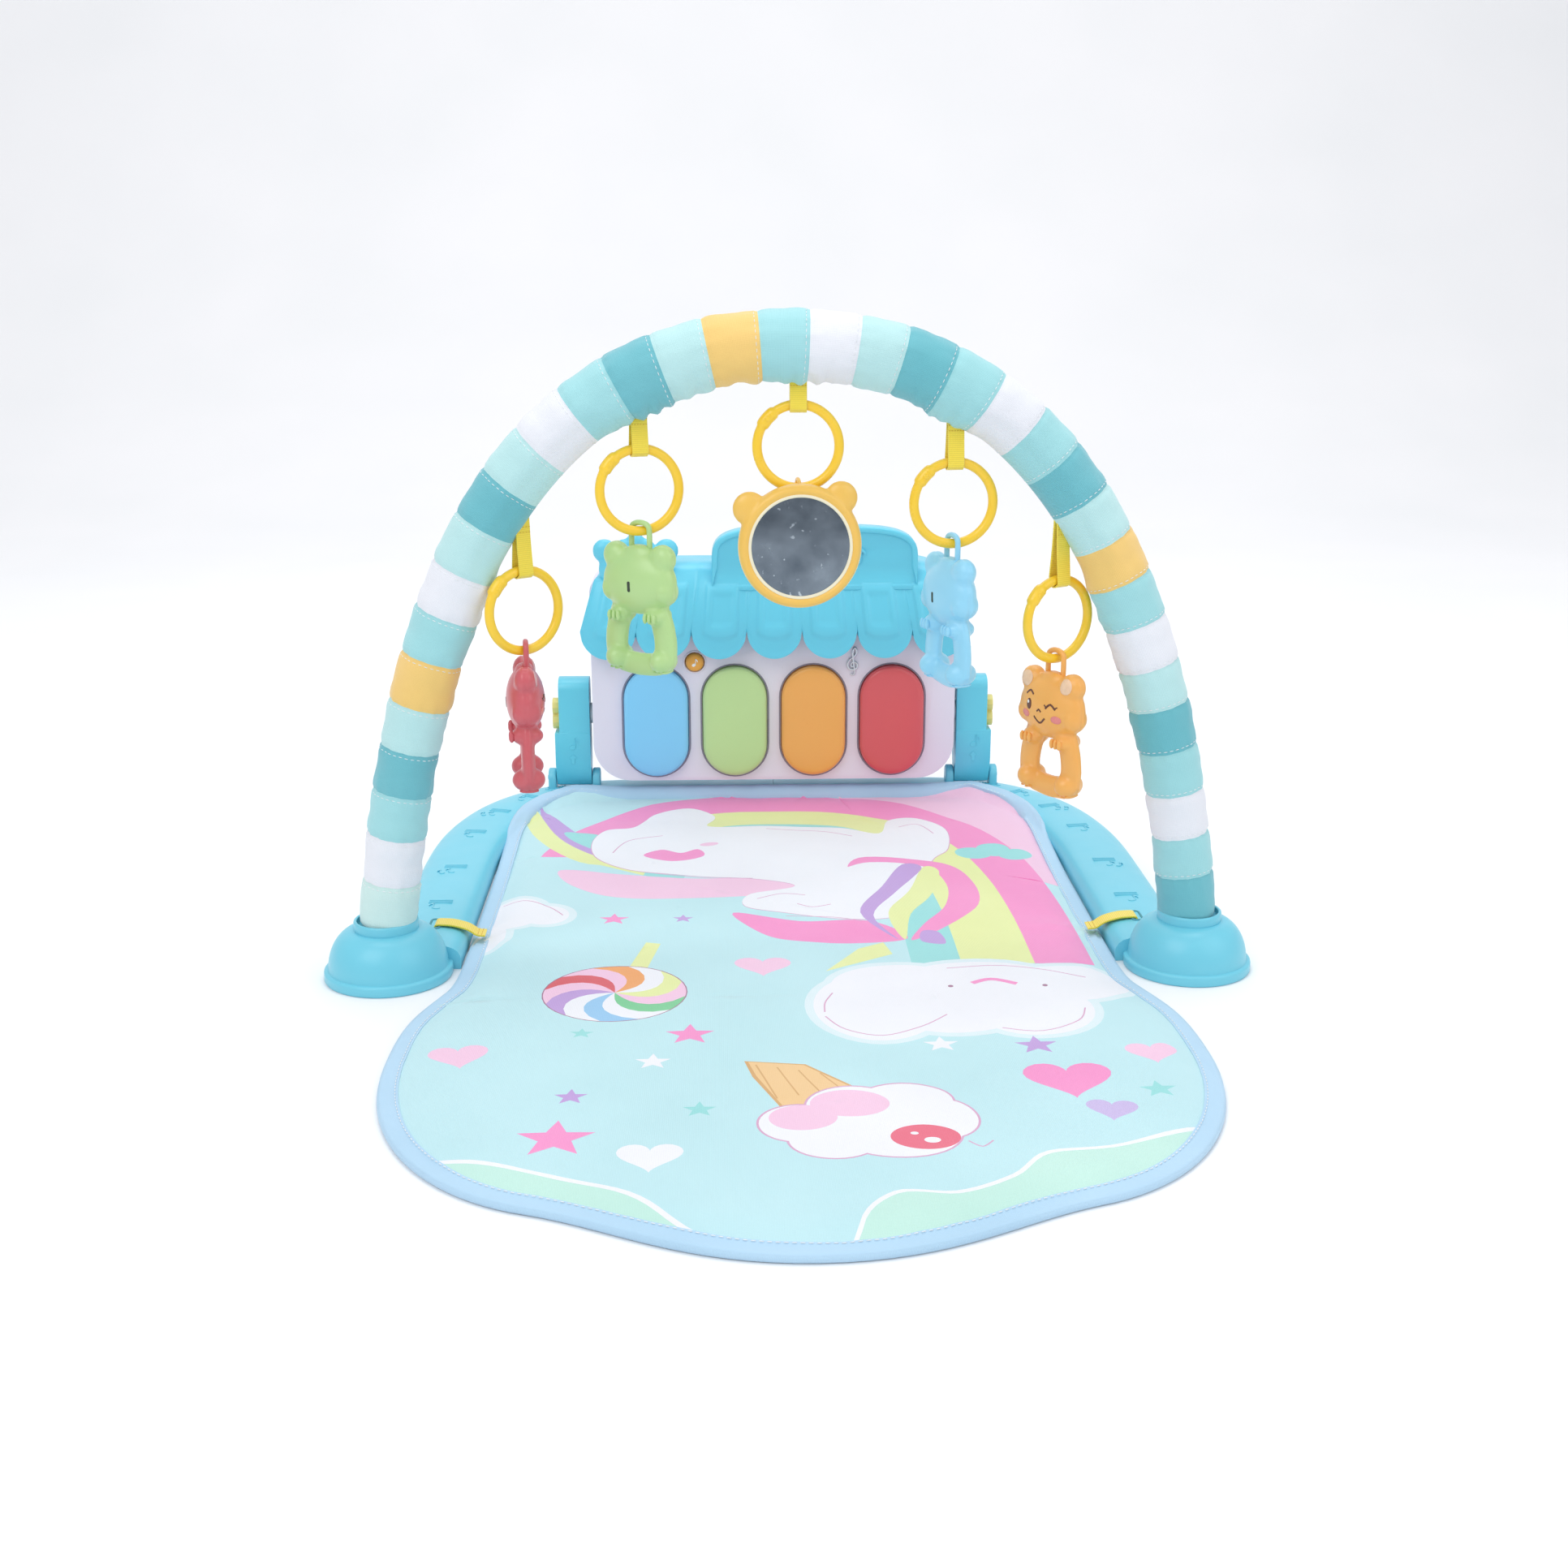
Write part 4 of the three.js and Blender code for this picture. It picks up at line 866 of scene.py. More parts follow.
def rainbow_band(outer, inner, start, end, power=3.0, steps=48):
    """Part of a band between two rounded arches. outer and inner are half-width and height."""

    def arch_line(half, height):
        line = []
        for i in range(steps + 1):
            angle = math.radians(start + (end - start) * i / steps)
            c, s = math.cos(angle), math.sin(angle)
            x = half * math.copysign(abs(c) ** (2 / power), c)
            line.append((x, -15 + height * abs(s) ** (2 / power)))
        return line

    return arch_line(*outer) + arch_line(*inner)[::-1]


def lollipop(shapes):
    cx, cy, radius = -103, -53, 41
    shapes.append(("lime", [(-97, -16), (-88, 29), (-79, 26), (-86, -18)]))
    shapes.append(("dark", oval(cx, cy, radius + 0.8, radius + 0.8)))
    wheel = ["red", "rose", "violet", "white", "sky", "white", "leaf", "rose", "lime", "white"]
    wheel += ["amber", "rose"]
    count = len(wheel)

    def swirl(index):
        out = []
        for k in range(9):
            share = k / 8
            angle = TAU * index / count + 0.9 * share * share
            out.append(
                (cx + radius * share * math.cos(angle), cy + radius * share * math.sin(angle))
            )
        return out

    for i, tint in enumerate(wheel):
        first, second = swirl(i + 3), swirl(i + 4)
        rim = []
        for k in range(1, 6):
            angle = TAU * (i + 3 + k / 6) / count + 0.9
            rim.append((cx + radius * math.cos(angle), cy + radius * math.sin(angle)))
        shapes.append((tint, first + rim + second[:0:-1]))


def ice_cream(shapes):
    shapes.append(("tan", [(-30, -150), (-26, -170), (-12, -208), (34, -194), (2, -156)]))
    shapes.append(("sand", [(-28, -151), (-24, -169), (-11, -206), (32, -194), (1, -157)]))
    for k in range(4):
        shift = k * 11
        shapes.append(
            ("tan", drawn_line([(-24 + shift, -155 - k * 4), (-14 + shift, -196 + k * 3)]))
        )
    puffs = [(-4, -224, 20, 20), (12, -242, 22, 20), (24, -206, 24, 22), (50, -201, 24, 20)]
    puffs += [(44, -236, 30, 26), (68, -221, 16, 21), (30, -222, 34, 26)]
    for grow, tint in ((1.2, "line"), (0, "white")):
        for cx, cy, rx, ry in puffs:
            shapes.append((tint, oval(cx, cy, rx + grow, ry + grow)))
    shapes.append(("rose", oval(-2, -218, 17, 14)))
    shapes.append(("rose", oval(22, -203, 20, 15)))
    shapes.append(("cherry", oval(56, -241, 17, 13)))
    shapes.append(("white", oval(59, -244, 4, 3)))
    shapes.append(("white", oval(51, -237, 2, 1.5)))
    shapes.append(("line", drawn_line([(76, -246), (82, -252), (88, -246)])))


def clouds(shapes):
    right = [(46, -78, 36, 48), (62, -46, 40, 30), (110, -46, 50, 34), (160, -46, 36, 27)]
    right += [(132, -84, 36, 38), (88, -84, 40, 34)]
    left = [(-175, 84, 20, 28), (-154, 78, 15, 18), (-190, 46, 14, 24)]
    for group in (right, left):
        for grow, tint in ((5, "halo"), (0, "white")):
            for cx, cy, rx, ry in group:
                shapes.append((tint, oval(cx, cy, rx + grow, ry + grow)))
    rim = [(16, -92), (26, -110), (46, -119), (68, -108), (84, -92)]
    shapes.append(("line", drawn_line(rim)))
    shapes.append(("line", drawn_line([(22, -58), (17, -72), (16, -86)])))
    shapes.append(("line", drawn_line([(112, -112), (134, -116), (156, -102), (163, -84)])))
    shapes.append(("line", drawn_line([(92, -22), (120, -18), (150, -25), (172, -38)])))
    shapes.append(("line", drawn_line([(-184, 104), (-168, 106), (-152, 92), (-143, 78)])))
    shapes.append(("dark", oval(91, -50, 1.6, 1.8, steps=12)))
    shapes.append(("dark", oval(146, -50, 1.6, 1.8, steps=12)))
    shapes.append(("pink", drawn_line([(104, -46), (116, -40), (130, -47)], 4)))


def pony(shapes):
    """A plain sleeping pony with a rainbow mane, lying on its side."""
    shapes.append(
        ("lime", flowing([(-186, 300), (-174, 236), (-133, 180), (-96, 194), (-140, 244)]))
    )
    shapes.append(
        ("violet", flowing([(-177, 304), (-163, 250), (-130, 200), (-102, 196), (-144, 250)]))
    )
    shapes.append(("aqua", flowing([(-156, 252), (-132, 214), (-112, 212), (-130, 250)])))
    belly = [(-152, 168), (-112, 158), (-60, 148), (-5, 150), (62, 128), (8, 116), (-62, 108)]
    shapes.append(("rose", flowing(belly + [(-112, 112), (-142, 136)])))
    body = [(-134, 230), (-126, 262), (-106, 270), (-92, 300), (-66, 312), (-46, 296), (-50, 270)]
    body += [(-5, 270), (46, 262), (74, 246), (84, 282), (106, 288), (124, 256), (120, 208)]
    body += [(106, 182), (94, 120), (74, 72), (40, 66), (0, 80), (-26, 92), (-22, 116), (8, 130)]
    body += [(-16, 146), (-60, 154), (-104, 168), (-128, 194)]
    shape = flowing(body)
    shapes.append(("line", [(x * 1.004, y - 0.9) for x, y in shape]))
    shapes.append(("white", shape))
    shapes.append(
        (
            "pink",
            flowing([(-96, 200), (-84, 214), (-70, 206), (-58, 214), (-54, 198), (-76, 186)]),
        )
    )
    shapes.append(("rose", oval(-50, 226, 7, 4, 20)))
    shapes.append(("lime", [(20, -24), (42, 12), (58, 22), (62, 2)]))
    shapes.append(
        ("pink", flowing([(-34, 80), (8, 64), (52, 62), (74, 28), (38, 22), (4, 28), (-16, 42)]))
    )
    mane = [
        (76, 24), (100, 48), (126, 90), (128, 138), (112, 176), (60, 192), (46, 170), (62, 180)
    ]
    shapes.append(("pink", flowing(mane + [(98, 170), (110, 132), (104, 88), (86, 52)])))
    shapes.append(
        (
            "lime",
            flowing([(72, 26), (80, 72), (98, 112), (108, 158), (98, 168), (84, 120), (66, 76)]),
        )
    )
    shapes.append(
        (
            "violet",
            flowing([(68, 26), (56, 72), (76, 120), (97, 166), (84, 174), (66, 128), (48, 78)]),
        )
    )
    shapes.append(("violet", flowing([(82, 22), (96, 18), (94, 38), (84, 40)])))
    for line in (
        [(-118, 206), (-108, 236), (-84, 248)],
        [(-8, 262), (30, 254), (54, 240)],
        [(90, 262), (104, 270), (114, 246)],
        [(-18, 106), (-2, 116), (14, 112)],
        [(8, 96), (18, 90), (30, 95)],
        [(-98, 164), (-60, 151), (-20, 148)],
        [(0, 74), (30, 70), (48, 62)],
    ):
        shapes.append(("line", drawn_line(line)))


def printed_shapes():
    """The print in painting order: (colour name, outline in mm)."""
    shapes = []
    wave = [(-230, -232), (-195, -247), (-160, -255), (-122, -272), (-84, -290), (-58, -318)]
    shapes.append(
        ("white", flowing(wave + [(-38, -338), (-36, -380), (-150, -390), (-240, -300)]))
    )
    shapes.append(
        (
            "mint",
            [
                (x - 1.5, y - 2.5)
                for x, y in flowing(wave + [(-38, -338), (-36, -380), (-150, -390), (-240, -300)])
            ],
        )
    )
    wave = [
        (230, -216), (192, -228), (150, -250), (112, -257), (92, -280), (64, -295), (36, -294)
    ]
    shapes.append(("white", flowing(wave + [(18, -322), (16, -380), (150, -390), (240, -300)])))
    shapes.append(
        (
            "mint",
            [
                (x + 1.5, y - 2.5)
                for x, y in flowing(wave + [(18, -322), (16, -380), (150, -390), (240, -300)])
            ],
        )
    )
    shapes.append(("rose", [(40, 372), (210, 372), (210, 120), (150, 150), (60, 300)]))
    bands = [("pink", 182, 352), ("lime", 146, 320), ("aqua", 102, 290), ("halo", 72, 278)]
    for (tint, half, height), (_, half_in, height_in) in zip(bands, bands[1:]):
        shapes.append((tint, rainbow_band((half, height), (half_in, height_in), 0, 168)))
    shapes.append(
        ("ground", [(-210, 196), (-150, 196), (-60, 130), (60, 60), (60, -60), (-210, -60)])
    )
    pony(shapes)
    clouds(shapes)
    shapes.append(("aqua", oval(137, 198, 13, 13)))
    shapes.append(("aqua", oval(152, 206, 12, 15)))
    shapes.append(("aqua", oval(166, 194, 12, 12)))
    lollipop(shapes)
    ice_cream(shapes)
    for tint, x, y, size, turn in (
        ("rose", -17, -14, 17, 0), ("rose", -181, -139, 16, 10), ("white", -76, -256, 16, 0),
        ("pink", 137, -176, 23, 0), ("lilac", 152, -213, 13, -8), ("rose", 187, -146, 14, 0),
    ):
        shapes.append((tint, heart(x, y, size, turn)))
    for tint, x, y, size in (
        ("pink", -122, -236, 20), ("pink", -59, -114, 14), ("pink", -110, 71, 10),
        ("violet", -118, -190, 9), ("violet", -66, 70, 7), ("violet", 127, -135, 12),
        ("aqua", -118, -111, 7), ("aqua", -53, -206, 9), ("aqua", 180, -192, 10),
        ("white", -78, -149, 10), ("white", 76, -132, 10),
    ):
        shapes.append((tint, star(x, y, size)))
    return shapes


def bezier(a, b, c, d, steps):
    a, b, c, d = (np.array(p, float) for p in (a, b, c, d))
    out = []
    for i in range(steps):
        t = i / steps
        out.append(
            (1 - t) ** 3 * a + 3 * t * (1 - t) ** 2 * b + 3 * t * t * (1 - t) * c + t**3 * d
        )
    return [tuple(p) for p in out]


def mat_outline():
    """The mat's edge, anticlockwise from the middle of its front."""
    waist = BAR_X - BAR_WIDTH / 2 - 3
    front, back, half = MAT_FRONT, MAT_BACK, MAT_HALF
    right = bezier((0, front), (60, front), (90, front + 32), (130, front + 46), 16)
    right += bezier(
        (130, front + 46), (180, front + 62), (half, front + 120), (half, front + 200), 22
    )
    right += bezier((half, front + 200), (half, -80), (half - 8, -70), (waist + 4, -DOME_R), 12)
    right += bezier((waist + 4, -DOME_R), (waist, -25), (waist, 0), (waist, 40), 10)
    right += [(waist, 40 + (back - 145) * i / 22) for i in range(22)]
    right += bezier(
        (waist, back - 105), (waist, back - 40), (waist - 20, back - 20), (waist - 34, back - 6),
        14,
    )
    right += bezier(
        (waist - 34, back - 6), (waist - 38, back - 2), (waist - 42, back), (waist - 50, back), 5
    )
    right += [((waist - 50) * (1 - i / 24), back) for i in range(24)]
    left = [(-x, y) for x, y in right[1:]][::-1]
    return right + [(0, back)] + left


def inside(points, outline):
    """Which points lie inside a closed outline."""
    px, py = points[:, 0], points[:, 1]
    hit = np.zeros(len(points), bool)
    count = len(outline)
    for i in range(count):
        x0, y0 = outline[i]
        x1, y1 = outline[(i + 1) % count]
        if y0 == y1:
            continue
        crosses = (y0 > py) != (y1 > py)
        hit ^= crosses & (px < (x1 - x0) * (py - y0) / (y1 - y0) + x0)
    return hit


def distance_to(points, outline):
    """Distance of each point from a closed outline."""
    best = np.full(len(points), 1e9)
    ring = np.array(outline)
    for a, b in zip(ring, np.roll(ring, -1, 0)):
        span = b - a
        t = np.clip((points - a) @ span / max(span @ span, 1e-9), 0, 1)
        best = np.minimum(best, np.linalg.norm(points - a - t[:, None] * span, axis=1))
    return best


def bar_centre(steps=64):
    """The right-hand bar's centre line from the dome to the middle of the back."""
    corner_x, corner_y, power = 118, 195, 2.6
    turn_x, turn_y = BAR_X - corner_x, BAR_BACK_Y - corner_y
    line = [(BAR_X, 8 + (turn_y - 8) * i / 24) for i in range(24)]
    for i in range(steps + 1):
        angle = math.pi / 2 * i / steps
        line.append(
            (
                turn_x + corner_x * max(math.cos(angle), 0) ** (2 / power),
                turn_y + corner_y * math.sin(angle) ** (2 / power),
            )
        )
    line += [(turn_x * (1 - i / 20), BAR_BACK_Y) for i in range(1, 21)]
    return line


BAR_PROFILE = [(0, 16), (5, 16), (14, 14.8), (21, 12), (23, 9), (24, 7.2), (24.2, 0)]


def ground_under(points):
    """Height of what the mat lies on: the floor, and the floor frame's bars at its back."""
    line = np.array(bar_centre())
    folded = np.stack([np.abs(points[:, 0]), points[:, 1]], 1)
    best = np.full(len(points), 1e9)
    for a, b in zip(line[:-1], line[1:]):
        span = b - a
        t = np.clip((folded - a) @ span / max(span @ span, 1e-9), 0, 1)
        best = np.minimum(best, np.linalg.norm(folded - a - t[:, None] * span, axis=1))
    hang = 46
    reach = np.array([p[0] for p in BAR_PROFILE] + [hang + 24])
    high = np.array([p[1] for p in BAR_PROFILE[:-1]] + [6.4, 0])
    return np.interp(best, reach, high) * bend_inside(points[:, 1], 150, 300) + 0.3


def mat_height(points, outline):
    """Height of the mat's top: soft padding, pressed at the edge, puckered by its binding."""
    away = distance_to(points, outline)
    thick = 3.6 + (MAT_T - 3.6) * bend_inside(away, 2, 26)
    wave = np.zeros(len(points))
    for i, (x, y) in enumerate(points):
        slow = noise.noise(Vector((x * 0.011, y * 0.011, 1.7)))
        quick = noise.noise(Vector((x * 0.035, y * 0.035, 4.1)))
        pucker = noise.noise(Vector((x * 0.09, y * 0.09, 8.3))) * math.exp(-away[i] / 16)
        wave[i] = 0.9 * slow + 0.45 * quick + 0.9 * pucker
    back = 1 - 0.3 * bend_inside(points[:, 1], 250, 320)
    thick = thick * back + wave * bend_inside(away, 0, 12)
    for side in (-1, 1):
        dx, dy = points[:, 0] - side * (BAR_X - BAR_WIDTH / 2 - 6), points[:, 1] - 44
        far = np.hypot(dx, dy * 1.2)
        thick += 1.6 * np.exp(-((far / 10) ** 2)) * np.cos(dy * 0.35)
        thick += 1.1 * np.exp(-far / 26) * np.sin(np.arctan2(dy, -side * dx) * 7)
    return ground_under(points) + thick


def printed_top():
    """The mat top's flat triangles with a colour for each, split along the print's edges."""
    outline = mat_outline()
    shapes = printed_shapes()
    points = [Vector(p) for p in outline]
    edges = [(i, (i + 1) % len(outline)) for i in range(len(outline))]
    for _, shape in shapes:
        start = len(points)
        points += [Vector((float(x), float(y))) for x, y in shape]
        edges += [(start + i, start + (i + 1) % len(shape)) for i in range(len(shape))]
    step = 5.5
    grid = [
        (x + (step / 2 if row % 2 else 0), y)
        for row, y in enumerate(np.arange(MAT_FRONT + 3, MAT_BACK, step * 0.87))
        for x in np.arange(-MAT_HALF, MAT_HALF, step)
    ]
    grid = np.array(grid)
    keep = inside(grid, outline)
    grid = grid[keep]
    grid = grid[distance_to(grid, outline) > 2.2]
    points += [Vector(p) for p in grid]
    found = geometry.delaunay_2d_cdt(points, edges, [], 0, 0.02)
    flat = np.array([(v.x, v.y) for v in found[0]])
    faces = [f for f in found[2]]
    centres = np.array([flat[list(f)].mean(0) for f in faces])
    keep = inside(centres, outline)
    faces = [f for f, k in zip(faces, keep) if k]
    centres = centres[keep]
    names = np.full(len(faces), "ground", dtype=object)
    for tint, shape in shapes:
        names[inside(centres, shape)] = tint
    return outline, flat, faces, names


def make_mat():
    """The padded mat with its printed top."""
    outline, flat, faces, names = printed_top()
    used = sorted({i for f in faces for i in f})
    index = {old: new for new, old in enumerate(used)}
    flat = flat[used]
    faces = [tuple(index[i] for i in f) for f in faces]
    top = mat_height(flat, outline)
    under = ground_under(flat)
    count = len(flat)
    points = [(x, y, z) for (x, y), z in zip(flat, top)]
    points += [(x, y, z) for (x, y), z in zip(flat, under)]
    skin = list(faces)
    single = {}
    for f in faces:
        for a, b in zip(f, f[1:] + f[:1]):
            single[(a, b)] = (b, a) not in single
            if (b, a) in single:
                single[(b, a)] = False
    skin += [tuple(count + i for i in f[::-1]) for f in faces]
    skin += [(b, a, count + a, count + b) for (a, b), alone in single.items() if alone]
    mesh = bpy.data.meshes.new("mat_pad")
    mesh.from_pydata([(x * MM, y * MM + ARCH_Y, z * MM) for x, y, z in points], [], skin)
    tints = mesh.color_attributes.new(name="print", type="FLOAT_COLOR", domain="CORNER")
    values = np.zeros((len(mesh.loops), 4), np.float32)
    for face in mesh.polygons:
        name = names[face.index] if face.index < len(names) else "halo"
        values[face.loop_start : face.loop_start + face.loop_total] = PRINTS[name]
    tints.data.foreach_set("color", values.ravel())
    uv = mesh.uv_layers.new(name="weave")
    places = np.zeros(len(mesh.vertices) * 3)
    mesh.vertices.foreach_get("co", places)
    corner = np.zeros(len(mesh.loops), int)
    mesh.loops.foreach_get("vertex_index", corner)
    uv.data.foreach_set("uv", places.reshape(-1, 3)[corner, :2].astype(np.float32).ravel())
    mesh.shade_smooth()
    mesh.set_sharp_from_angle(angle=math.radians(60))
    pad = bpy.data.objects.new("mat_pad", mesh)
    bpy.context.scene.collection.objects.link(pad)
    settle(pad, FABRIC_MAT, "base", "mat_fabric", "play_mat")
    make_binding(outline)


def make_binding(outline):
    """Bias tape folded over the mat's edge, with a line of stitches along its inner side."""
    ring = np.array(outline)
    ahead = np.roll(ring, -1, 0) - np.roll(ring, 1, 0)
    ahead /= np.linalg.norm(ahead, axis=1)[:, None]
    inwards = np.stack([-ahead[:, 1], ahead[:, 0]], 1)
    width = 9.5
    run = np.concatenate([[0], np.cumsum(np.linalg.norm(np.diff(ring, axis=0), axis=1))])
    crimp = np.array(
        [0.22 * math.sin(r * 0.75) + 0.3 * noise.noise(Vector((r * 0.06, 0, 2))) for r in run]
    )
    insets = (width, width * 0.66, width * 0.33, 1.2, 0)
    tops = [mat_height(ring + inwards * (d + 0.01), outline) for d in insets]
    floors = [ground_under(ring + inwards * (d + 0.01)) for d in insets]
    over_bars = 1.3 * bend_inside(ring[:, 1], 130, 190)
    layers = []
    for d, top in zip(insets[:-1], tops):
        lift = 0.55 + over_bars + crimp * (1 if d < width else 0.3)
        layers.append((d, top + lift))
    mid = (tops[-1] + floors[-1]) / 2
    layers.append((-0.9, tops[-1] + 0.1))
    layers.append((-1.4, mid))
    layers.append((-0.9, floors[-1] + 0.5))
    for d, low in zip(insets[::-1][1:], floors[::-1][1:]):
        layers.append((d, low - 0.2))
    layers.append((width, tops[0] - 1.0))
    rings = []
    for i in range(len(ring)):
        rings.append(
            [
                (ring[i][0] + inwards[i][0] * d, ring[i][1] + inwards[i][1] * d, float(z[i]))
                for d, z in layers
            ]
        )
    rings.append(rings[0])
    points, faces = join_rings(rings, True, False)
    tape = put_piece("mat_binding", points, faces, 75)
    layer = tape.data.uv_layers.new(name="weave")
    for face in tape.data.polygons:
        for loop in face.loop_indices:
            co = tape.data.vertices[tape.data.loops[loop].vertex_index].co
            layer.data[loop].uv = ((co.x + co.y) * 0.7071, (co.x - co.y) * 0.7071)
    settle(tape, FABRIC_BINDING, "base", "mat_fabric")
    line = [
        (
            ring[i][0] + inwards[i][0] * 8,
            ring[i][1] + inwards[i][1] * 8,
            float(tops[0][i] + over_bars[i]) + 0.8,
        )
        for i in range(len(ring))
    ]
    thread = stitch_lines("mat_stitches", [(line, True)], THREAD_PALE, 3.6, 2.6, 0.5)
    settle(thread, None, "base", "mat_fabric")


# ---- floor frame, domes and straps ----

HINGE_Z = 23
LUG_R = 7.5
LUG_FOOT = 9
STRAP_Y = 44


def refined(name, node, width, segments=2, angle=33):
    """A CAD node's shape with its edges rounded as a moulding's are."""
    shell = bmesh.new()
    shell.from_mesh(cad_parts[node].data)
    bmesh.ops.remove_doubles(shell, verts=shell.verts, dist=3e-6)
    bmesh.ops.dissolve_limit(
        shell, angle_limit=math.radians(1.2), verts=shell.verts, edges=shell.edges
    )
    mesh = bpy.data.meshes.new(name)
    shell.to_mesh(mesh)
    shell.free()
    mesh.materials.clear()
    made = bpy.data.objects.new(name, mesh)
    bpy.context.scene.collection.objects.link(made)
    round_off = made.modifiers.new("round_off", "BEVEL")
    round_off.width = width * MM
    round_off.segments = segments
    round_off.angle_limit = math.radians(angle)
    make_plain(made)
    shade_smooth(made.data, 48)
    return made


def bar_ring(centre, side, drop=0.0):
    """The bar's rounded section at one point of its centre line."""
    half = BAR_WIDTH / 2
    profile = [(half - 0.8, 0.0), (half, 0.8), (half, 6.6), (half - 0.5, 8.6), (half - 2.0, 11.2)]
    profile += [
        (half - 4.6, 13.2), (half - 8.5, 14.6), (half - 13.5, 15.5), (half - 19, 15.9), (0, 16)
    ]
    profile += [(-u, v) for u, v in profile[:-1]][::-1]
    return [
        (centre[0] + side[0] * u, centre[1] + side[1] * u, max(v - drop, 0))
        for u, v in profile
    ]


def music_note(size):
    """A small eighth note as raised outlines in x and y."""
    head = oval(0, 0, 0.6 * size, 0.44 * size, 25, 18)
    stem = [(0.4 * size, 0), (0.6 * size, 0), (0.6 * size, 1.8 * size), (0.4 * size, 1.8 * size)]
    flag = [
        (0.4 * size, 1.8 * size), (0.7 * size, 1.75 * size), (1.15 * size, 1.2 * size),
        (1.05 * size, 0.8 * size), (0.9 * size, 1.25 * size), (0.5 * size, 1.4 * size),
    ]
    return [head, stem, flag]


def staff(length, width=0.9):
    """One straight staff line."""
    return [[(0, 0), (length, 0), (length, width), (0, width)]]


def make_bars():
    """The two halves of the floor frame with their hinge lugs, rivets and raised notes."""
    line = [np.array(p) for p in bar_centre()]
    for sign, side_name in ((1, "right"), (-1, "left")):
        rings = []
        for i, point in enumerate(line):
            ahead = line[min(i + 1, len(line) - 1)] - line[max(i - 1, 0)]
            ahead = ahead / np.linalg.norm(ahead)
            side = np.array([ahead[1], -ahead[0]])
            end = max(point[0], 0.15)
            rings.append(
                [(sign * max(x, 0.15), y, z) for x, y, z in bar_ring((end, point[1]), side)]
            )
        parts = [join_rings(rings)]
        post_low = edge("upright_right", "x", 0) + 6.1
        post_high = edge("upright_right", "x", 1) - 6.1
        lug = [
            (STAND_Y + LUG_R * math.cos(a), HINGE_Z + LUG_R * math.sin(a))
            for a in [math.pi * i / 16 for i in range(17)]
        ]
        lug += [(STAND_Y - LUG_R, LUG_FOOT), (STAND_Y + LUG_R, LUG_FOOT)]
        for x0, x1 in ((post_low - 6.6, post_low - 0.6), (post_high + 0.6, post_high + 6.6)):
            slices = []
            for x, depth in (
                (x0, 1.2), (x0 + 0.4, 0.4), (x0 + 1.2, 0), (x1 - 1.2, 0), (x1 - 0.4, 0.4),
                (x1, 1.2),
            ):
                slices.append([(sign * x, y, z) for y, z in inset(lug, depth)])
            parts.append(join_rings(slices))
        rivets = [
            moved(
                turned([(0, 0.9), (1.6, 0.8), (2.2, 0.3), (2.3, 0), (2.3, -2), (0, -2)], 24),
                Matrix.Translation(
                    (sign * (post_high + 6.6), STAND_Y, HINGE_Z)
                ) @ Matrix.Rotation(sign * math.pi / 2, 4, "Y"),
            )
        ]
        bar = put_piece(f"floor_bar_{side_name}", *merged(*parts, *rivets), smooth_angle=42)
        settle(bar, TURQUOISE_PLASTIC, "base", "turquoise_plastic", f"base_leg_{side_name}")
        raised = []
        for k, share in enumerate((0.1, 0.2, 0.31, 0.42, 0.53, 0.63)):
            spot = line[int(share * (len(line) - 1))]
            ahead = line[int(share * (len(line) - 1)) + 1] - spot
            turn = math.atan2(ahead[1], ahead[0]) - math.pi / 2
            shapes = music_note(4.6) if k % 2 == 0 else music_note(3.8) + [
                [(x + 6, y - 2) for x, y in s]
                for s in music_note(3.2)
            ]
            shapes += [
                [(x - 9, y + 9 + 2.4 * n) for x, y in s]
                for n in range(3)
                for s in staff(15, 0.8)
            ]
            for shape in shapes:
                c, s = math.cos(turn), math.sin(turn)
                flat = [(spot[0] + x * c - y * s, spot[1] + x * s + y * c) for x, y in shape]
                rise = [
                    [(sign * x, y, z) for x, y in inset(flat, d)]
                    for z, d in ((14.6, 0), (16.25, 0), (16.5, 0.15))
                ]
                raised.append(join_rings(rise))
        relief = put_piece(f"bar_relief_{side_name}", *merged(*raised))
        settle(relief, TURQUOISE_PLASTIC, "base", "turquoise_plastic")


def make_domes():
    """The flanged domes with a raised collar that hold the arch."""
    top = DOME_TOP
    profile = [(0, top - 4), (16.4, top - 4), (17.0, top - 3.4), (17.1, top - 0.4), (17.5, top)]
    profile += [(18.3, top), (18.9, top - 0.5), (19.1, top - 1.4), (19.0, top - 5.6)]
    for i in range(15):
        t = i / 14
        angle = math.radians(8 + 74 * t)
        profile.append(
            (19.6 + 15.6 * math.sin(angle) - 1.2 * (1 - t), 7.2 + 23.4 * math.cos(angle))
        )
    profile += [(35.2, 7.6), (35.6, 6.6), (37.2, 6.3), (DOME_R - 0.2, 5.7), (DOME_R, 4.9)]
    profile += [(DOME_R, 1.0), (DOME_R - 0.5, 0.2), (DOME_R - 1, 0), (0, 0)]
    for sign, side_name in ((1, "right"), (-1, "left")):
        dome = put_piece(
            f"dome_{side_name}",
            *moved(turned(profile, 112), Matrix.Translation((sign * DOME_X, 0, 0))),
            smooth_angle=38,
        )
        settle(dome, TURQUOISE_PLASTIC, "base", "turquoise_plastic", f"foot_dome_{side_name}")


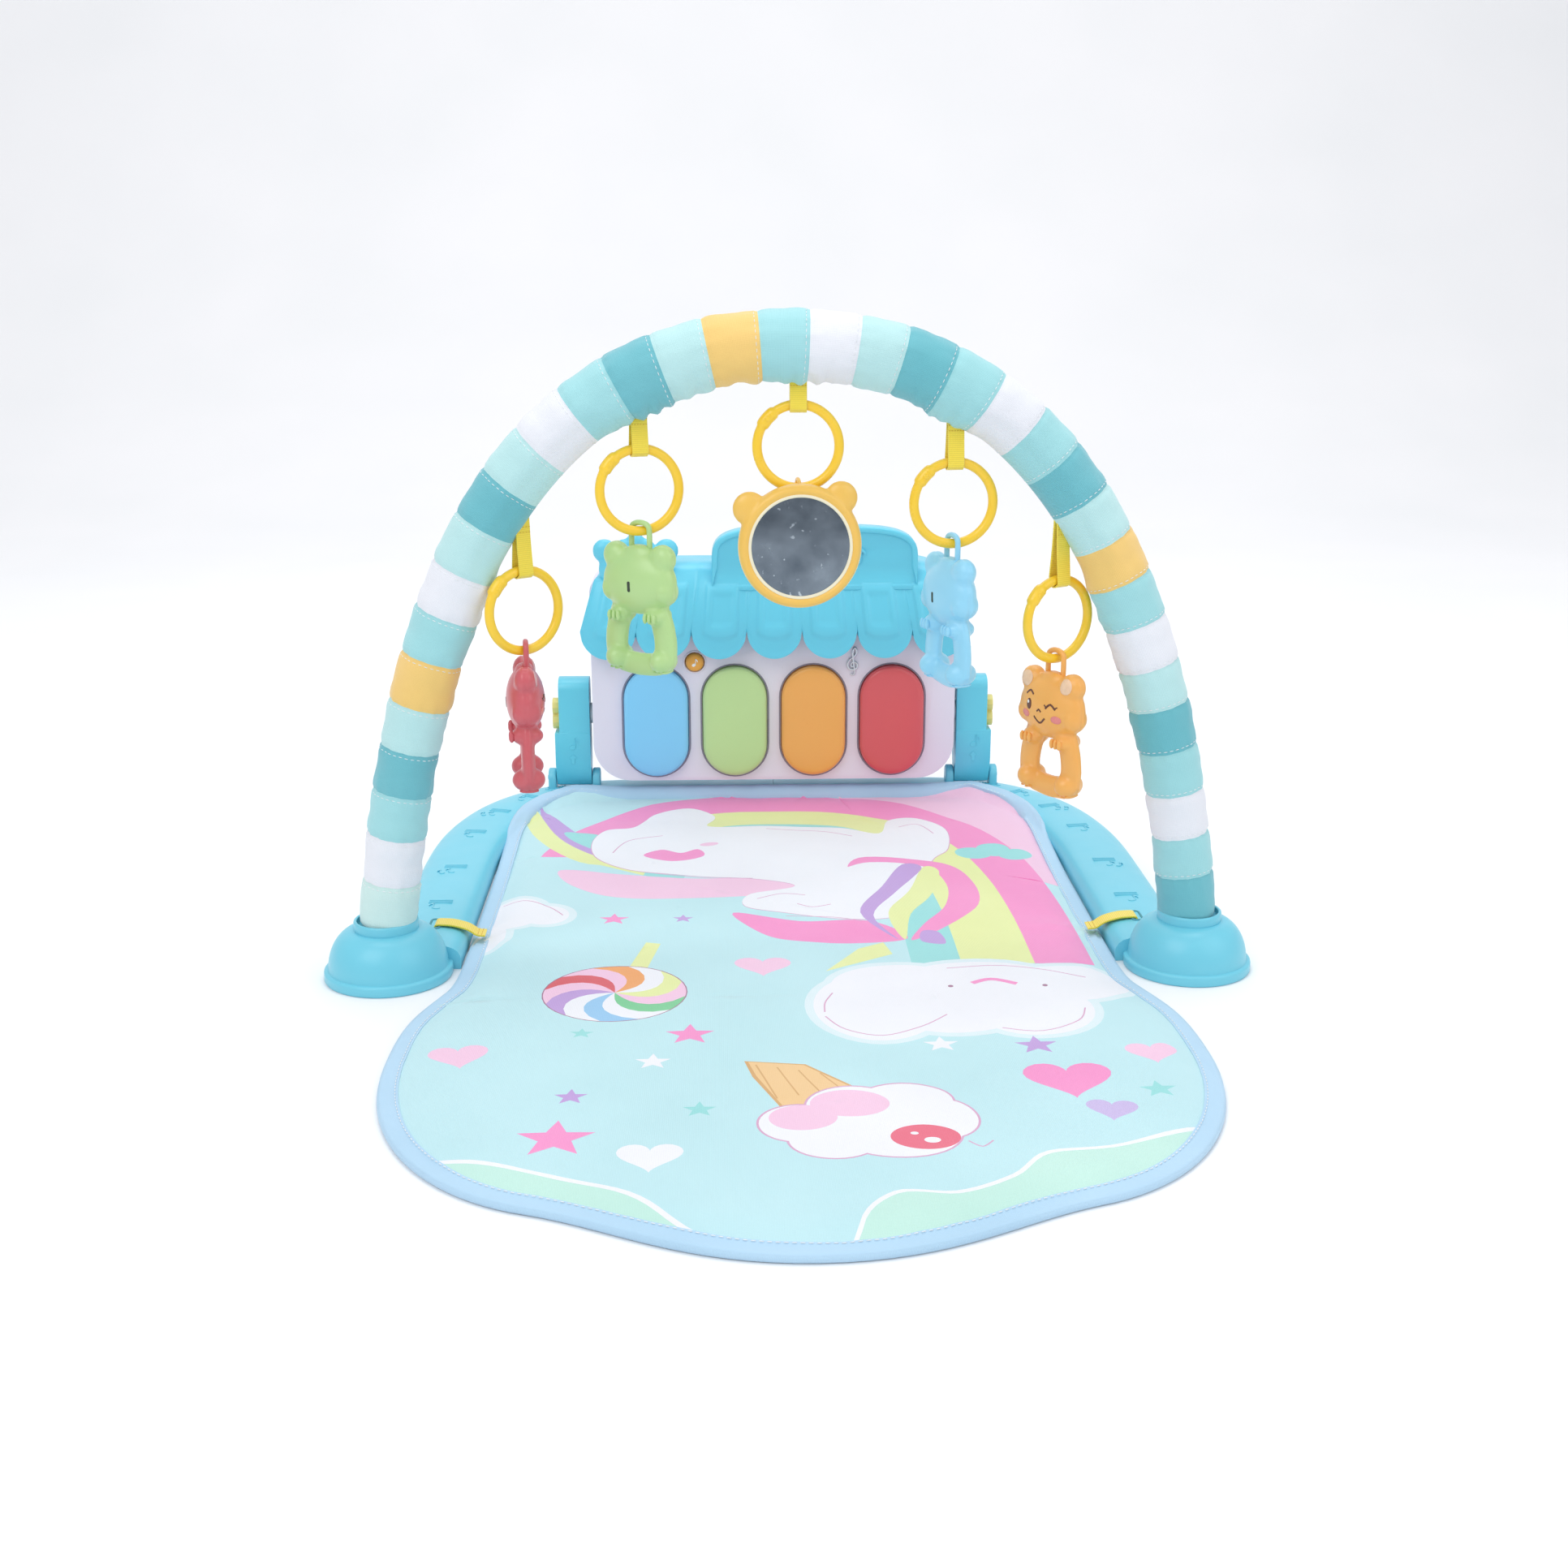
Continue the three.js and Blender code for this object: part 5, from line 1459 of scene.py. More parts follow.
def ribbon(path, width, thick, wide_axis):
    """A flat strap along points: wide_axis is the direction of its width."""
    spine = [Vector(p) for p in path]
    wide = Vector(wide_axis).normalized()
    section = [(-1, 0), (-0.95, -1)] + [(k / 3, -1) for k in range(-2, 3)]
    section += [(0.95, -1), (1, 0), (0.95, 1)]
    section += [(k / 3, 1) for k in range(2, -3, -1)] + [(-0.95, 1)]
    rings = []
    for i, point in enumerate(spine):
        ahead = (spine[min(i + 1, len(spine) - 1)] - spine[max(i - 1, 0)]).normalized()
        out = ahead.cross(wide).normalized()
        rings.append(
            [tuple(point + wide * (a * width / 2) + out * (b * thick / 2)) for a, b in section]
        )
    return rings


def strap_piece(name, path, width, thick, wide_axis):
    """A strap as a piece, with UVs along and across it."""
    rings = ribbon(path, width, thick, wide_axis)
    points, faces = join_rings(rings)
    strap = put_piece(name, points, faces, 60)
    layer = strap.data.uv_layers.new(name="weave")
    wide = Vector(wide_axis).normalized()
    spine = [Vector(p) for p in path]
    run = [0.0]
    for a, b in zip(spine, spine[1:]):
        run.append(run[-1] + (b - a).length)
    for face in strap.data.polygons:
        for loop in face.loop_indices:
            co = strap.data.vertices[strap.data.loops[loop].vertex_index].co
            here = Vector((co.x / MM, (co.y - ARCH_Y) / MM, co.z / MM))
            near = min(range(len(spine)), key=lambda k: (spine[k] - here).length)
            layer.data[loop].uv = (run[near] * MM, here.dot(wide) * MM)
    return strap


def make_mat_straps():
    """Webbing ties from the mat over each bar into a rimmed slot."""
    for sign, side_name in ((1, "right"), (-1, "left")):
        inner = BAR_X - BAR_WIDTH / 2
        y = STRAP_Y
        route = [
            (inner - 11, y, 9.6), (inner - 6, y, 10.2), (inner - 2.4, y, 12.6),
            (inner + 1.5, y, 14.6), (inner + 9, y, 16.6), (inner + 15, y, 17.1),
            (inner + 18.6, y, 17.0), (inner + 19.8, y, 15.6), (inner + 20, y, 12.0),
        ]
        route = [(sign * x, y, z) for x, y, z in smooth_loop(route, 5, False)]
        strap = strap_piece(f"mat_tie_{side_name}", route, 12, 1.1, (0, 1, 0))
        settle(strap, WEBBING, "base", "webbing", f"mat_strap_{side_name}")
        # The slot's lip and walls are coloured with painted shade, darker than the bar.
        rim = rounded_box_outline(2.6, -7.6, 7.6, 1.6, 1.6, 4)
        slices = [
            [(sign * (inner + 20 + x), y + b, z) for x, b in inset(rim, d)]
            for z, d in (
                (15.4, -1.4), (16.3, -1.2), (16.6, -0.7), (16.6, -0.1), (16.2, 0.1), (12.6, 0.1)
            )
        ]
        lip = put_piece(f"tie_slot_{side_name}", *join_rings(slices, True, True))
        settle(lip, SLOT_PAINTED_SHADE, "base", "turquoise_plastic")
        line = [(sign * (inner - 9), y + k, 10.75) for k in np.linspace(-5, 5, 9)]
        more = [(sign * (inner - 6.6), y + k, 10.95) for k in np.linspace(-5, 5, 9)]
        thread = stitch_lines(
            f"tie_stitches_{side_name}", [(line, False), (more, False)], THREAD_GOLD, 2, 1.5, 0.4
        )
        settle(thread, None, "base", "webbing")


# ---- hanging loops, rings and toys ----

RING_R = 23
RING_TUBE = 2.75
COLLAR_R = 3.45
RING_TURNS = {1: 38, 2: 18, 3: 0, 4: 8, 5: 32}
TOY_TURNS = {1: -83, 2: -34, 3: 4, 4: -68, 5: -56}
TOY_BODIES = {1: "toy_red", 2: "toy_green", 3: "toy_mirror", 4: "toy_blue", 5: "toy_orange"}
TOY_PLASTIC = {1: "red", 2: "green", 4: "blue", 5: "orange"}
HEAD_Z = -28.55
HEAD_W, HEAD_H, HEAD_T = 24.6, 18.8, 11.2
SEAM_Y = -1.25
MIRROR_DROP = 31.5
MIRROR_R = 35
GLASS_R = 29
EAR_REACH = 35.4
CLASP_AT = 138


def hang_point(number):
    """x and z of a ring's centre."""
    low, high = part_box(f"ring_{number}")
    return (low.x + high.x) / 2 / MM, high.z / MM - RING_R - RING_TUBE


def at_hanger(number, turn, drop):
    x, z = hang_point(number)
    return Matrix.Translation((x, 0, z - drop)) @ Matrix.Rotation(math.radians(turn), 4, "Z")


def make_ring(number):
    """A hoop with a swollen snap clasp, two collars and its pin."""
    frame_of = at_hanger(number, RING_TURNS[number], 0)
    path, radii = [], []
    for i in range(120):
        degrees = 360 * i / 120
        angle = math.radians(degrees)
        off = abs((degrees - CLASP_AT + 180) % 360 - 180)
        path.append((RING_R * math.cos(angle), 0, RING_R * math.sin(angle)))
        swell = float(bend_inside(off, 15, 11)) if off > 11 else 1.0
        radii.append(RING_TUBE + 0.95 * swell)
    hoop = tube(path, radii, 18, True, 1.0, (0, 1, 0))
    extra = []
    for degrees in (CLASP_AT - 6, CLASP_AT + 6):
        angle = math.radians(degrees)
        collar = [
            (
                (RING_R + COLLAR_R * math.cos(a)) * math.cos(angle),
                COLLAR_R * math.sin(a),
                (RING_R + COLLAR_R * math.cos(a)) * math.sin(angle),
            )
            for a in [TAU * k / 24 for k in range(24)]
        ]
        extra.append(tube(collar, 0.3, 8, True, 1.0, (math.cos(angle), 0, math.sin(angle))))
    angle = math.radians(CLASP_AT)
    pin = turned([(0, 4.0), (1.3, 3.95), (1.6, 3.6), (1.6, -3.6), (1.3, -3.95), (0, -4.0)], 20)
    pin_at = Matrix.Translation((RING_R * math.cos(angle), 0, RING_R * math.sin(angle)))
    extra.append(moved(pin, pin_at @ Matrix.Rotation(math.pi / 2, 4, "X")))
    ring = put_piece(
        f"snap_ring_{number}", *moved(merged(hoop, *extra), frame_of), smooth_angle=50
    )
    settle(ring, RING_PLASTIC, f"ring_{number}", "yellow_plastic", f"ring_{number}")


def make_loop(number):
    """A webbing loop sewn to the sleeve, round its ring."""
    turn = RING_TURNS[number]
    x, z = hang_point(number)
    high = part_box(f"hang_loop_{number}")[1].z / MM
    reach = RING_TUBE + 1.35
    ring_top = z + RING_R
    rise = high - ring_top
    route = [(0, -1.2, high + 2), (0, -1.3, high - 1)]
    for t in (0.75, 0.5, 0.28):
        pinch = -1.5 - 2.6 * (1 - t) ** 2
        route.append((0, pinch, ring_top + max(rise * t, 3.2)))
    for i in range(9):
        angle = math.radians(200 + 140 * i / 8)
        route.append((0, reach * math.cos(angle), ring_top + reach * math.sin(angle)))
    for t in (0.28, 0.5, 0.75):
        pinch = 1.5 + 2.6 * (1 - t) ** 2
        route.append((0, pinch, ring_top + max(rise * t, 3.2)))
    route += [(0, 1.3, high - 1), (0, 1.2, high + 2)]
    route = smooth_loop(route, 4, False)
    spin = Matrix.Translation((x, 0, 0)) @ Matrix.Rotation(math.radians(turn), 4, "Z")
    route = [tuple(spin @ Vector(p)) for p in route]
    wide = spin.to_3x3() @ Vector((1, 0, 0))
    loop = strap_piece(f"hanging_loop_{number}", route, 9.6, 0.9, wide)
    settle(loop, WEBBING, "base", "webbing", f"hang_loop_{number}")
    lines = []
    for side in (-1, 1):
        for z_at in (high - 5.5, high - 8.5):
            if z_at < ring_top + 7:
                continue
            line = [tuple(spin @ Vector((k, side * 2.35, z_at))) for k in np.linspace(-4, 4, 9)]
            lines.append((line, False))
    if lines:
        thread = stitch_lines(f"loop_stitches_{number}", lines, THREAD_GOLD, 1.6, 1.2, 0.36)
        settle(thread, None, "base", "webbing")


def wire_staple(across_width):
    """The eye moulded on top of a toy: a closed bow round the ring's tube."""
    top = 4.5
    half = 6.2
    points = [
        (-half, -11), (-half, 0), (-half + 1, 3.2), (-half + 3.6, top), (0, top + 0.3),
        (half - 3.6, top), (half - 1, 3.2), (half, 0), (half, -11),
    ]
    path = [
        (x, 0, z) if across_width else (0, x, z)
        for x, z, _ in smooth_loop([(a, b, 0) for a, b in points], 5, False)
    ]
    return tube(path, 1.6, 12, False, 1.0, (0, 1, 0) if across_width else (1, 0, 0))


def groove(piece, frame_of, depth=0.5, width=0.7):
    """Presses the parting line between a toy's two shells into its skin."""
    back = frame_of.inverted()
    for vertex in piece.data.vertices:
        at = Vector((vertex.co.x / MM, (vertex.co.y - ARCH_Y) / MM, vertex.co.z / MM))
        off = (back @ at).y - SEAM_Y
        vertex.co -= vertex.normal * depth * MM * math.exp(-((off / width) ** 2))


def decal(name, shapes, target, frame_of, side, lift=0.12):
    """Printed marks, and painted shade for slots, laid on a toy's face. shapes are outlines in x
    and z of the toy.
    """
    tree = BVHTree.FromPolygons(
        [v.co[:] for v in target.data.vertices], [p.vertices[:] for p in target.data.polygons]
    )
    points, faces = [], []
    for shape in shapes:
        grid = [Vector(p) for p in shape]
        low = np.array(shape).min(0)
        high = np.array(shape).max(0)
        inner = [
            (x, z)
            for x in np.arange(low[0], high[0], 0.9)
            for z in np.arange(low[1], high[1], 0.9)
        ]
        if inner:
            inner = np.array(inner)
            inner = inner[inside(inner, shape)]
            inner = inner[distance_to(inner, shape) > 0.3] if len(inner) else inner
            grid += [Vector(p) for p in inner]
        rim = [(i, (i + 1) % len(shape)) for i in range(len(shape))]
        found = geometry.delaunay_2d_cdt(grid, rim, [], 1, 0.01)
        base = len(points)
        for v in found[0]:
            start = frame_of @ Vector((v.x, side * 40, v.y))
            aim = frame_of.to_3x3() @ Vector((0, -side, 0))
            origin = Vector((start.x * MM, start.y * MM + ARCH_Y, start.z * MM))
            hit = tree.ray_cast(origin, aim)
            spot = hit[0] if hit[0] is not None else origin + aim * 30 * MM
            spot = spot - aim * lift * MM
            points.append((spot.x / MM, (spot.y - ARCH_Y) / MM, spot.z / MM))
        faces += [tuple(base + i for i in f) for f in found[2]]
    mark = put_piece(name, points, faces, 60)
    aim = frame_of.to_3x3() @ Vector((0, side, 0))
    if sum((p.normal.dot(aim) for p in mark.data.polygons)) < 0:
        mark.data.flip_normals()
    skin = mark.modifiers.new("ink", "SOLIDIFY")
    skin.thickness = 0.3 * MM
    skin.offset = -0.2
    make_plain(mark)
    return mark


def line_shape(points, width):
    """A drawn line of a face."""
    return drawn_line(points, width, 4)


def make_rattle(number):
    """A rattle: head, ears, paws, handle, feet, hanging eye, and a printed face."""
    tint = TOY_PLASTIC[number]
    frame_of = at_hanger(number, TOY_TURNS[number], RING_R)
    body = TOY_BODIES[number]
    limb = []
    for side in (-1, 1):
        spine = smooth_loop(
            [
                (side * 12.6, SEAM_Y, -45),
                (side * 15.8, SEAM_Y, -54),
                (side * 17.3, SEAM_Y, -64),
                (side * 16.4, SEAM_Y, -74),
            ],
            5,
            False,
        )
        limb.append(tube(spine, [4.0] * len(spine), 20, False, 1.9, (1, 0, 0)))
        limb.append(ball((side * 16, SEAM_Y, -14.5), (8.3, 6.6, 8.2)))
        limb.append(ball((side * 15.4, SEAM_Y, -72.8), (7.4, 9.6, 7.2)))
        limb.append(ball((side * 12.4, SEAM_Y, -47.4), (7.0, 9.4, 5.6)))
        limb.append(ball((side * 18, SEAM_Y, -33), (6.5, 8.4, 8)))
    base = smooth_loop([(-14, SEAM_Y, -75), (0, SEAM_Y, -76.4), (14, SEAM_Y, -75)], 5, False)
    limb.append(tube(base, [3.5] * len(base), 20, False, 2.0, (0, 0, 1)))
    limb.append(ball((0, SEAM_Y, -11.2), (9.4, 5.4, 4.0)))
    head = ball((0, SEAM_Y, HEAD_Z), (HEAD_W, HEAD_T, HEAD_H), 28)
    lump = soft_joined(f"rattle_{tint}", [moved(p, frame_of) for p in [head] + limb], 1.05, 6)
    groove(lump, frame_of)
    settle(
        lump, TOY_FINISH[tint], body, f"{tint}_plastic", f"rattle_front_{number}",
        f"rattle_back_{number}",
    )
    details = [wire_staple(True)]
    for side in (-1, 1):
        for k in range(3):
            details.append(
                ball(
                    (side * (21.0 - 0.35 * abs(k - 1)), SEAM_Y, -56 - 4.4 * k), (1.5, 3.4, 1.5), 8
                )
            )
            details.append(
                ball(
                    (side * (12.2 + 3.1 * k), SEAM_Y, -79.4 + 0.5 * abs(k - 1)),
                    (1.1, 5.6, 1.2),
                    8,
                )
            )
            details.append(
                ball((side * (9.4 + 3.0 * k), SEAM_Y - 8.9, -47.6), (1.3, 1.6, 3.0), 8)
            )
    small = put_piece(f"rattle_knobs_{tint}", *moved(merged(*details), frame_of), smooth_angle=60)
    settle(small, TOY_FINISH[tint], body, f"{tint}_plastic")
    face_side = -1 if number == 5 else 1

    def printed(part, shapes, ink, side=face_side, lift=0.12):
        mark = decal(f"rattle_{part}_{tint}", shapes, lump, frame_of, side, lift)
        settle(mark, ink, body, f"{tint}_plastic")

    z = HEAD_Z
    lines = [
        line_shape([(-13, z + 7), (-9.6, z + 9.4), (-6, z + 7.6)], 1.0),
        line_shape([(5, z + 1.2), (8.4, z + 4.0), (12, z + 1.4)], 1.1),
        line_shape([(5.6, z + 2.0), (4.0, z + 3.2)], 0.7),
        line_shape([(11.4, z + 2.0), (13.2, z + 3.0)], 0.7),
        line_shape([(-1.6, z - 1.6), (0, z - 0.2), (1.6, z - 1.6)], 0.9),
        line_shape([(-4.4, z - 5), (0, z - 8.4), (4.4, z - 5)], 1.0),
        oval(-9, z + 1.6, 2.1, 3.2),
    ]
    # The sound slot is not cut: a dark mark of painted shade stands for the shade inside it.
    slot = rounded_box_outline(0.9, -33, -27, 0.8, 0.8, 4)
    printed("slot", [slot], SLOT_AND_HOLE_PAINTED_SHADE, -face_side)
    printed("ears", [oval(s * 16, -13.4, 4.4, 4.6) for s in (-1, 1)], TOY_PALE[tint])
    printed("face", lines, FACE_INK)
    printed("cheeks", [oval(s * 12.4, z - 4.6, 3.4, 2.3) for s in (-1, 1)], CHEEK_INK)
    printed("eye", [oval(-9.6, z + 2.8, 0.8, 1.0, 0, 12)], WHITE_INK, lift=0.4)


def make_mirror_toy():
    """The mirror toy: a surround with two ears, its plate, bead and hanging eye."""
    frame_of = at_hanger(3, TOY_TURNS[3], RING_R)
    radius, glass = MIRROR_R, GLASS_R
    rim = [
        (0, 4.6), (radius - 3.4, 4.6), (radius - 1.4, 5.2), (radius - 0.3, 7), (radius, 10.2),
        (radius - 0.4, 13.2), (radius - 1.8, 15.3), (radius - 3.6, 15.9), (glass + 1.6, 15.5),
        (glass + 0.7, 14.9), (glass + 0.4, 14.3), (0, 14.3),
    ]
    stand_up = Matrix.Translation((0, 0, -MIRROR_DROP)) @ Matrix.Rotation(math.pi / 2, 4, "X")
    parts = [moved(turned(rim, 96), stand_up)]
    for degrees, size in ((137, 9.6), (43, 9.4)):
        angle = math.radians(degrees + 6)
        centre = (EAR_REACH * math.cos(angle), -9.6, EAR_REACH * math.sin(angle) - MIRROR_DROP)
        parts.append(ball(centre, (size, 4.6, size), 18))
    lump = soft_joined("mirror_surround", [moved(p, frame_of) for p in parts], 0.9, 3)
    settle(lump, AMBER_PLASTIC, "toy_mirror", "amber_plastic", "mirror_frame", "mirror_back")
    eye = [
        (-6.1, -6.4), (-6.1, 2), (-4.6, 4.0), (0, 4.7), (4.6, 4.0), (6.1, 2), (6.1, -4.4),
        (4.6, -6.2), (0, -6.4),
    ]
    bow = tube(
        [(0, y, z) for y, z, _ in smooth_loop([(a, b, 0) for a, b in eye], 5)],
        1.1,
        12,
        True,
        1,
        (1, 0, 0),
    )
    hook = put_piece("mirror_eye", *moved(bow, frame_of), smooth_angle=60)
    settle(hook, AMBER_PLASTIC, "toy_mirror", "amber_plastic")
    plate = [(0, 14.55), (glass - 1.2, 14.5), (glass - 0.8, 14.4), (glass - 0.7, 14.0), (0, 14.0)]
    disc = put_piece("mirror_plate", *moved(turned(plate, 96), frame_of @ stand_up))
    settle(disc, MIRROR, "toy_mirror", "mirror", "mirror_glass")
    hoop = [
        (glass - 1.4, 14.3), (glass - 1.2, 15.0), (glass - 0.5, 15.3), (glass + 0.3, 15.1),
        (glass + 0.6, 14.4),
    ]
    band = put_piece(
        "mirror_bead", *moved(turned(hoop, 96, True), frame_of @ stand_up), smooth_angle=60
    )
    settle(band, CREAM_PLASTIC, "toy_mirror", "amber_plastic")


# ---- stand and knobs ----


def make_stand():
    """Posts with raised marks, the pivot washers and the wing knobs."""
    for sign, side_name in ((1, "right"), (-1, "left")):
        post = refined(f"post_{side_name}", f"upright_{side_name}", 1.8, 3)
        settle(post, POST_PLASTIC, "stand", "turquoise_plastic", f"upright_{side_name}")
        low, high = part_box(f"upright_{side_name}")
        centre = (low.x + high.x) / 2 / MM
        front = STAND_Y - 12
        shapes = [[(centre + x, 50 + y) for x, y in s] for s in music_note(4.2)]
        arrow = [(-3, 0), (0, 3.4), (3, 0), (1.1, 0), (1.1, -4), (-1.1, -4), (-1.1, 0)]
        shapes.append([(centre + x, 41 + y) for x, y in arrow])
        solids = []
        for shape in shapes:
            solids.append(
                stepped_relief(shape, [(0, front + 0.6), (0, front - 0.35), (0.12, front - 0.5)])
            )
        relief = put_piece(f"post_relief_{side_name}", *merged(*solids))
        settle(relief, POST_PLASTIC, "stand", "turquoise_plastic")
        washer = refined(f"washer_{side_name}", f"pivot_washer_{side_name}", 0.5, 2)
        settle(washer, GREY_PLASTIC, "stand", "white_plastic", f"pivot_washer_{side_name}")
        knob = refined(f"wing_knob_{side_name}", f"knob_{side_name}", 1.3, 3, 28)
        settle(knob, KNOB_PLASTIC, f"knob_{side_name}", "yellow_plastic", f"knob_{side_name}")
        low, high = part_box(f"knob_{side_name}")
        out = (high.x if sign > 0 else low.x) / MM
        # The slit is a thin plug proud of the knob, coloured with painted shade.
        slit = rounded_box_outline(0.9, -9.5, 9.5, 0.8, 0.8, 4)
        rings = [
            [(out + sign * d, STAND_Y + y, PIVOT_Z + z) for y, z in inset(slit, i)]
            for d, i in ((-1.0, 0), (0.12, 0), (0.15, 0.1))
        ]
        mark = put_piece(f"knob_slit_{side_name}", *join_rings(rings))
        settle(mark, SLOT_PAINTED_SHADE, f"knob_{side_name}", "yellow_plastic")


# ---- kick piano ----

ROOF_LOW, ROOF_TOP = 124, 194
LOBES = 7
LOBE_R = (PANEL_HALF + 6.75) / LOBES
SIGN_X, SIGN_HALF, SIGN_LOW, SIGN_EAVE, SIGN_RISE = 30.5, 77, 174, 192, 30
FIGURE_X, FIGURE_Z = -103, 192
SPEAKER_X, SPEAKER_Z = 75, 146
LAMP_X = 122


def obround(cx, cz, half, straight, steps=22):
    """A stadium outline, taller than wide."""
    out = []
    for start, lift in ((0, straight), (180, -straight)):
        for i in range(steps + 1):
            angle = math.radians(start + 180 * i / steps)
            out.append((cx + half * math.cos(angle), cz + lift + half * math.sin(angle)))
    return out


def make_keys():
    """Kick keys with rounded faces and the thin dark gap round each, a flat ring of painted
    shade.
    """
    for tint, base in KEYS.items():
        low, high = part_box(f"key_{tint}")
        half = (high.x - low.x) / 2 / MM - 1.2
        tall = (high.z - low.z) / 2 / MM - 1.2
        cx, cz = (low.x + high.x) / 2 / MM, (low.z + high.z) / 2 / MM
        front = low.y / MM - ARCH_Y / MM
        steps = [
            (-1.2, front + 11.9), (-1.2, front + 9.9), (0, front + 9.9), (0, front + 3.2),
            (0.3, front + 2.2), (1.1, front + 1.2), (2.4, front + 0.6), (4.6, front + 0.2),
            (8, front - 0.1), (13, front - 0.4), (half - 3, front - 0.6),
            (half - 0.3, front - 0.65),
        ]
        rings = [[(x, y, z) for x, z in obround(cx, cz, half - d, tall - half)] for d, y in steps]
        key = put_piece(f"piano_key_{tint}", *join_rings(rings), smooth_angle=50)
        settle(
            key,
            moulded(f"{tint}_key_plastic", base, 0.3),
            f"key_{tint}",
            f"{tint}_plastic",
            f"key_{tint}",
        )
        # A flat ring round the key, coloured with painted shade for the gap.
        shade_ring = []
        for d, y in (
            (-1.3, PANEL_FRONT + 0.15),
            (-1.3, PANEL_FRONT - 0.12),
            (-0.1, PANEL_FRONT - 0.12),
            (-0.1, PANEL_FRONT + 0.15),
        ):
            shade_ring.append(
                [(x, y, z) for x, z in obround(cx, cz, half + 0.7 - d, tall - half)]
            )
        painted_gap_shade = put_piece(
            f"key_gap_ring_painted_shade_{tint}", *join_rings(shade_ring + [shade_ring[0]], True, False)
        )
        settle(painted_gap_shade, KEY_GAP_PAINTED_SHADE, "piano", "white_plastic")


def across(part, x, z, y):
    """A turned part laid with its axis along Y, its height pointing to the front."""
    return moved(part, Matrix.Translation((x, y, z)) @ Matrix.Rotation(math.pi / 2, 4, "X"))


def make_button():
    """The round sound button, its rim and the small red lamp."""
    spot = middle("mode_button")
    x, z = spot.x / MM, spot.z / MM
    front = edge("mode_button", "y", 0)
    cap = [
        (0, 0.3), (2.4, 0.25), (4.6, 0.0), (6.0, -0.6), (6.7, -1.6), (6.9, -3), (6.9, -7.5),
        (8.9, -7.5), (8.9, -9), (0, -9),
    ]
    button = put_piece("sound_button", *across(turned(cap, 48), x, z, front))
    settle(button, BUTTON_PLASTIC, "mode_button", "orange_plastic", "mode_button")
    note = []
    for shape in music_note(2.6):
        outline = [(x + a - 0.6, z + b - 1.6) for a, b in shape]
        note.append(
            stepped_relief(outline, [(0, front + 0.4), (0, front - 0.45), (0.08, front - 0.5)])
        )
    mark = put_piece("button_note", *merged(*note))
    settle(mark, WHITE_INK, "mode_button", "orange_plastic")
    rim = [(7.6, -0.3), (7.7, 0.5), (8.3, 0.8), (8.9, 0.5), (9.1, -0.3)]
    ring = put_piece("button_rim", *across(turned(rim, 48, True), x, z, PANEL_FRONT))
    settle(ring, PANEL_PLASTIC, "piano", "white_plastic")
    dot = turned([(0, 1.0), (1.1, 0.8), (1.6, 0.2), (1.7, -1), (0, -1)], 24)
    lamp = put_piece("power_lamp", *across(dot, LAMP_X, z + 2, PANEL_FRONT))
    settle(lamp, LAMP_RED, "piano", "white_plastic")


def make_clef():
    """The silver emblem as one bent wire."""
    spot = middle("clef_badge")
    curl = [
        (0.9, -4.2), (-1.2, -4.5), (-1.5, -2.3), (0.6, -1.0), (2.9, -2.4), (3.0, -5.2),
        (0.6, -7.0), (-2.9, -6.2), (-4.3, -3.0), (-2.6, 0.6), (0.8, 3.4), (2.6, 6.6), (1.6, 9.8),
        (0.0, 8.4), (-0.3, 4), (0.6, -4), (1.3, -9), (0, -11.2), (-1.9, -10.2),
    ]
    cx, cz = spot.x / MM, spot.z / MM + 0.8
    path = [
        (cx + a, PANEL_FRONT - 0.9, cz + b)
        for a, b, _ in smooth_loop([(p[0], p[1], 0) for p in curl], 6, False)
    ]
    wide = [0.62 + 0.3 * math.sin(math.pi * i / (len(path) - 1)) for i in range(len(path))]
    badge = put_piece(
        "clef_emblem", *tube(path, wide, 10, False, 1.0, (0, 1, 0)), smooth_angle=60
    )
    settle(badge, SILVER, "piano", "silver_plastic", "clef_badge")


def awning_point(u, row, profile):
    """A point of the scalloped awning. u runs across it, row from the back to the eave."""
    y, z = profile[row]
    q = (u + 1) * LOBES / 2
    f = min(max(q - math.floor(min(q, LOBES - 1e-6)), 0), 1)
    scallop = ROOF_LOW + LOBE_R - LOBE_R * math.sqrt(max(0.0, 1 - (2 * f - 1) ** 2))
    scallop = max(scallop, ROOF_LOW)
    drop = max(0.0, (ROOF_TOP - z) / (ROOF_TOP - ROOF_LOW)) if y < PANEL_FRONT + 8 else 0.0
    low = ROOF_TOP - drop * (ROOF_TOP - scallop)
    z = low if drop > 0 else z
    shoulder = max(0.0, (abs(u) - 0.76) / 0.24)
    z -= 8.2 * shoulder**2.4 * max(0.0, (z - ROOF_TOP + 12) / 12)
    half = PANEL_HALF - 7.5 + 14.25 * drop
    front = float(bend_inside(drop, 0.03, 0.3))
    bulge = 3.0 * (1 - abs(2 * f - 1) ** 2.2) * front
    panel = min((0.33 - abs(f - 0.5)) / 0.035, (drop - 0.2) / 0.03, (0.8 - drop) / 0.04)
    inner = min((0.21 - abs(f - 0.5)) / 0.03, (drop - 0.3) / 0.03, (0.66 - drop) / 0.04)
    relief = 1.5 * min(max(panel, 0), 1) - 1.1 * min(max(inner, 0), 1)
    lip = 0.7 * float(bend_inside(drop, 0.93, 0.97))
    return u * half, y - bulge - relief - lip, z


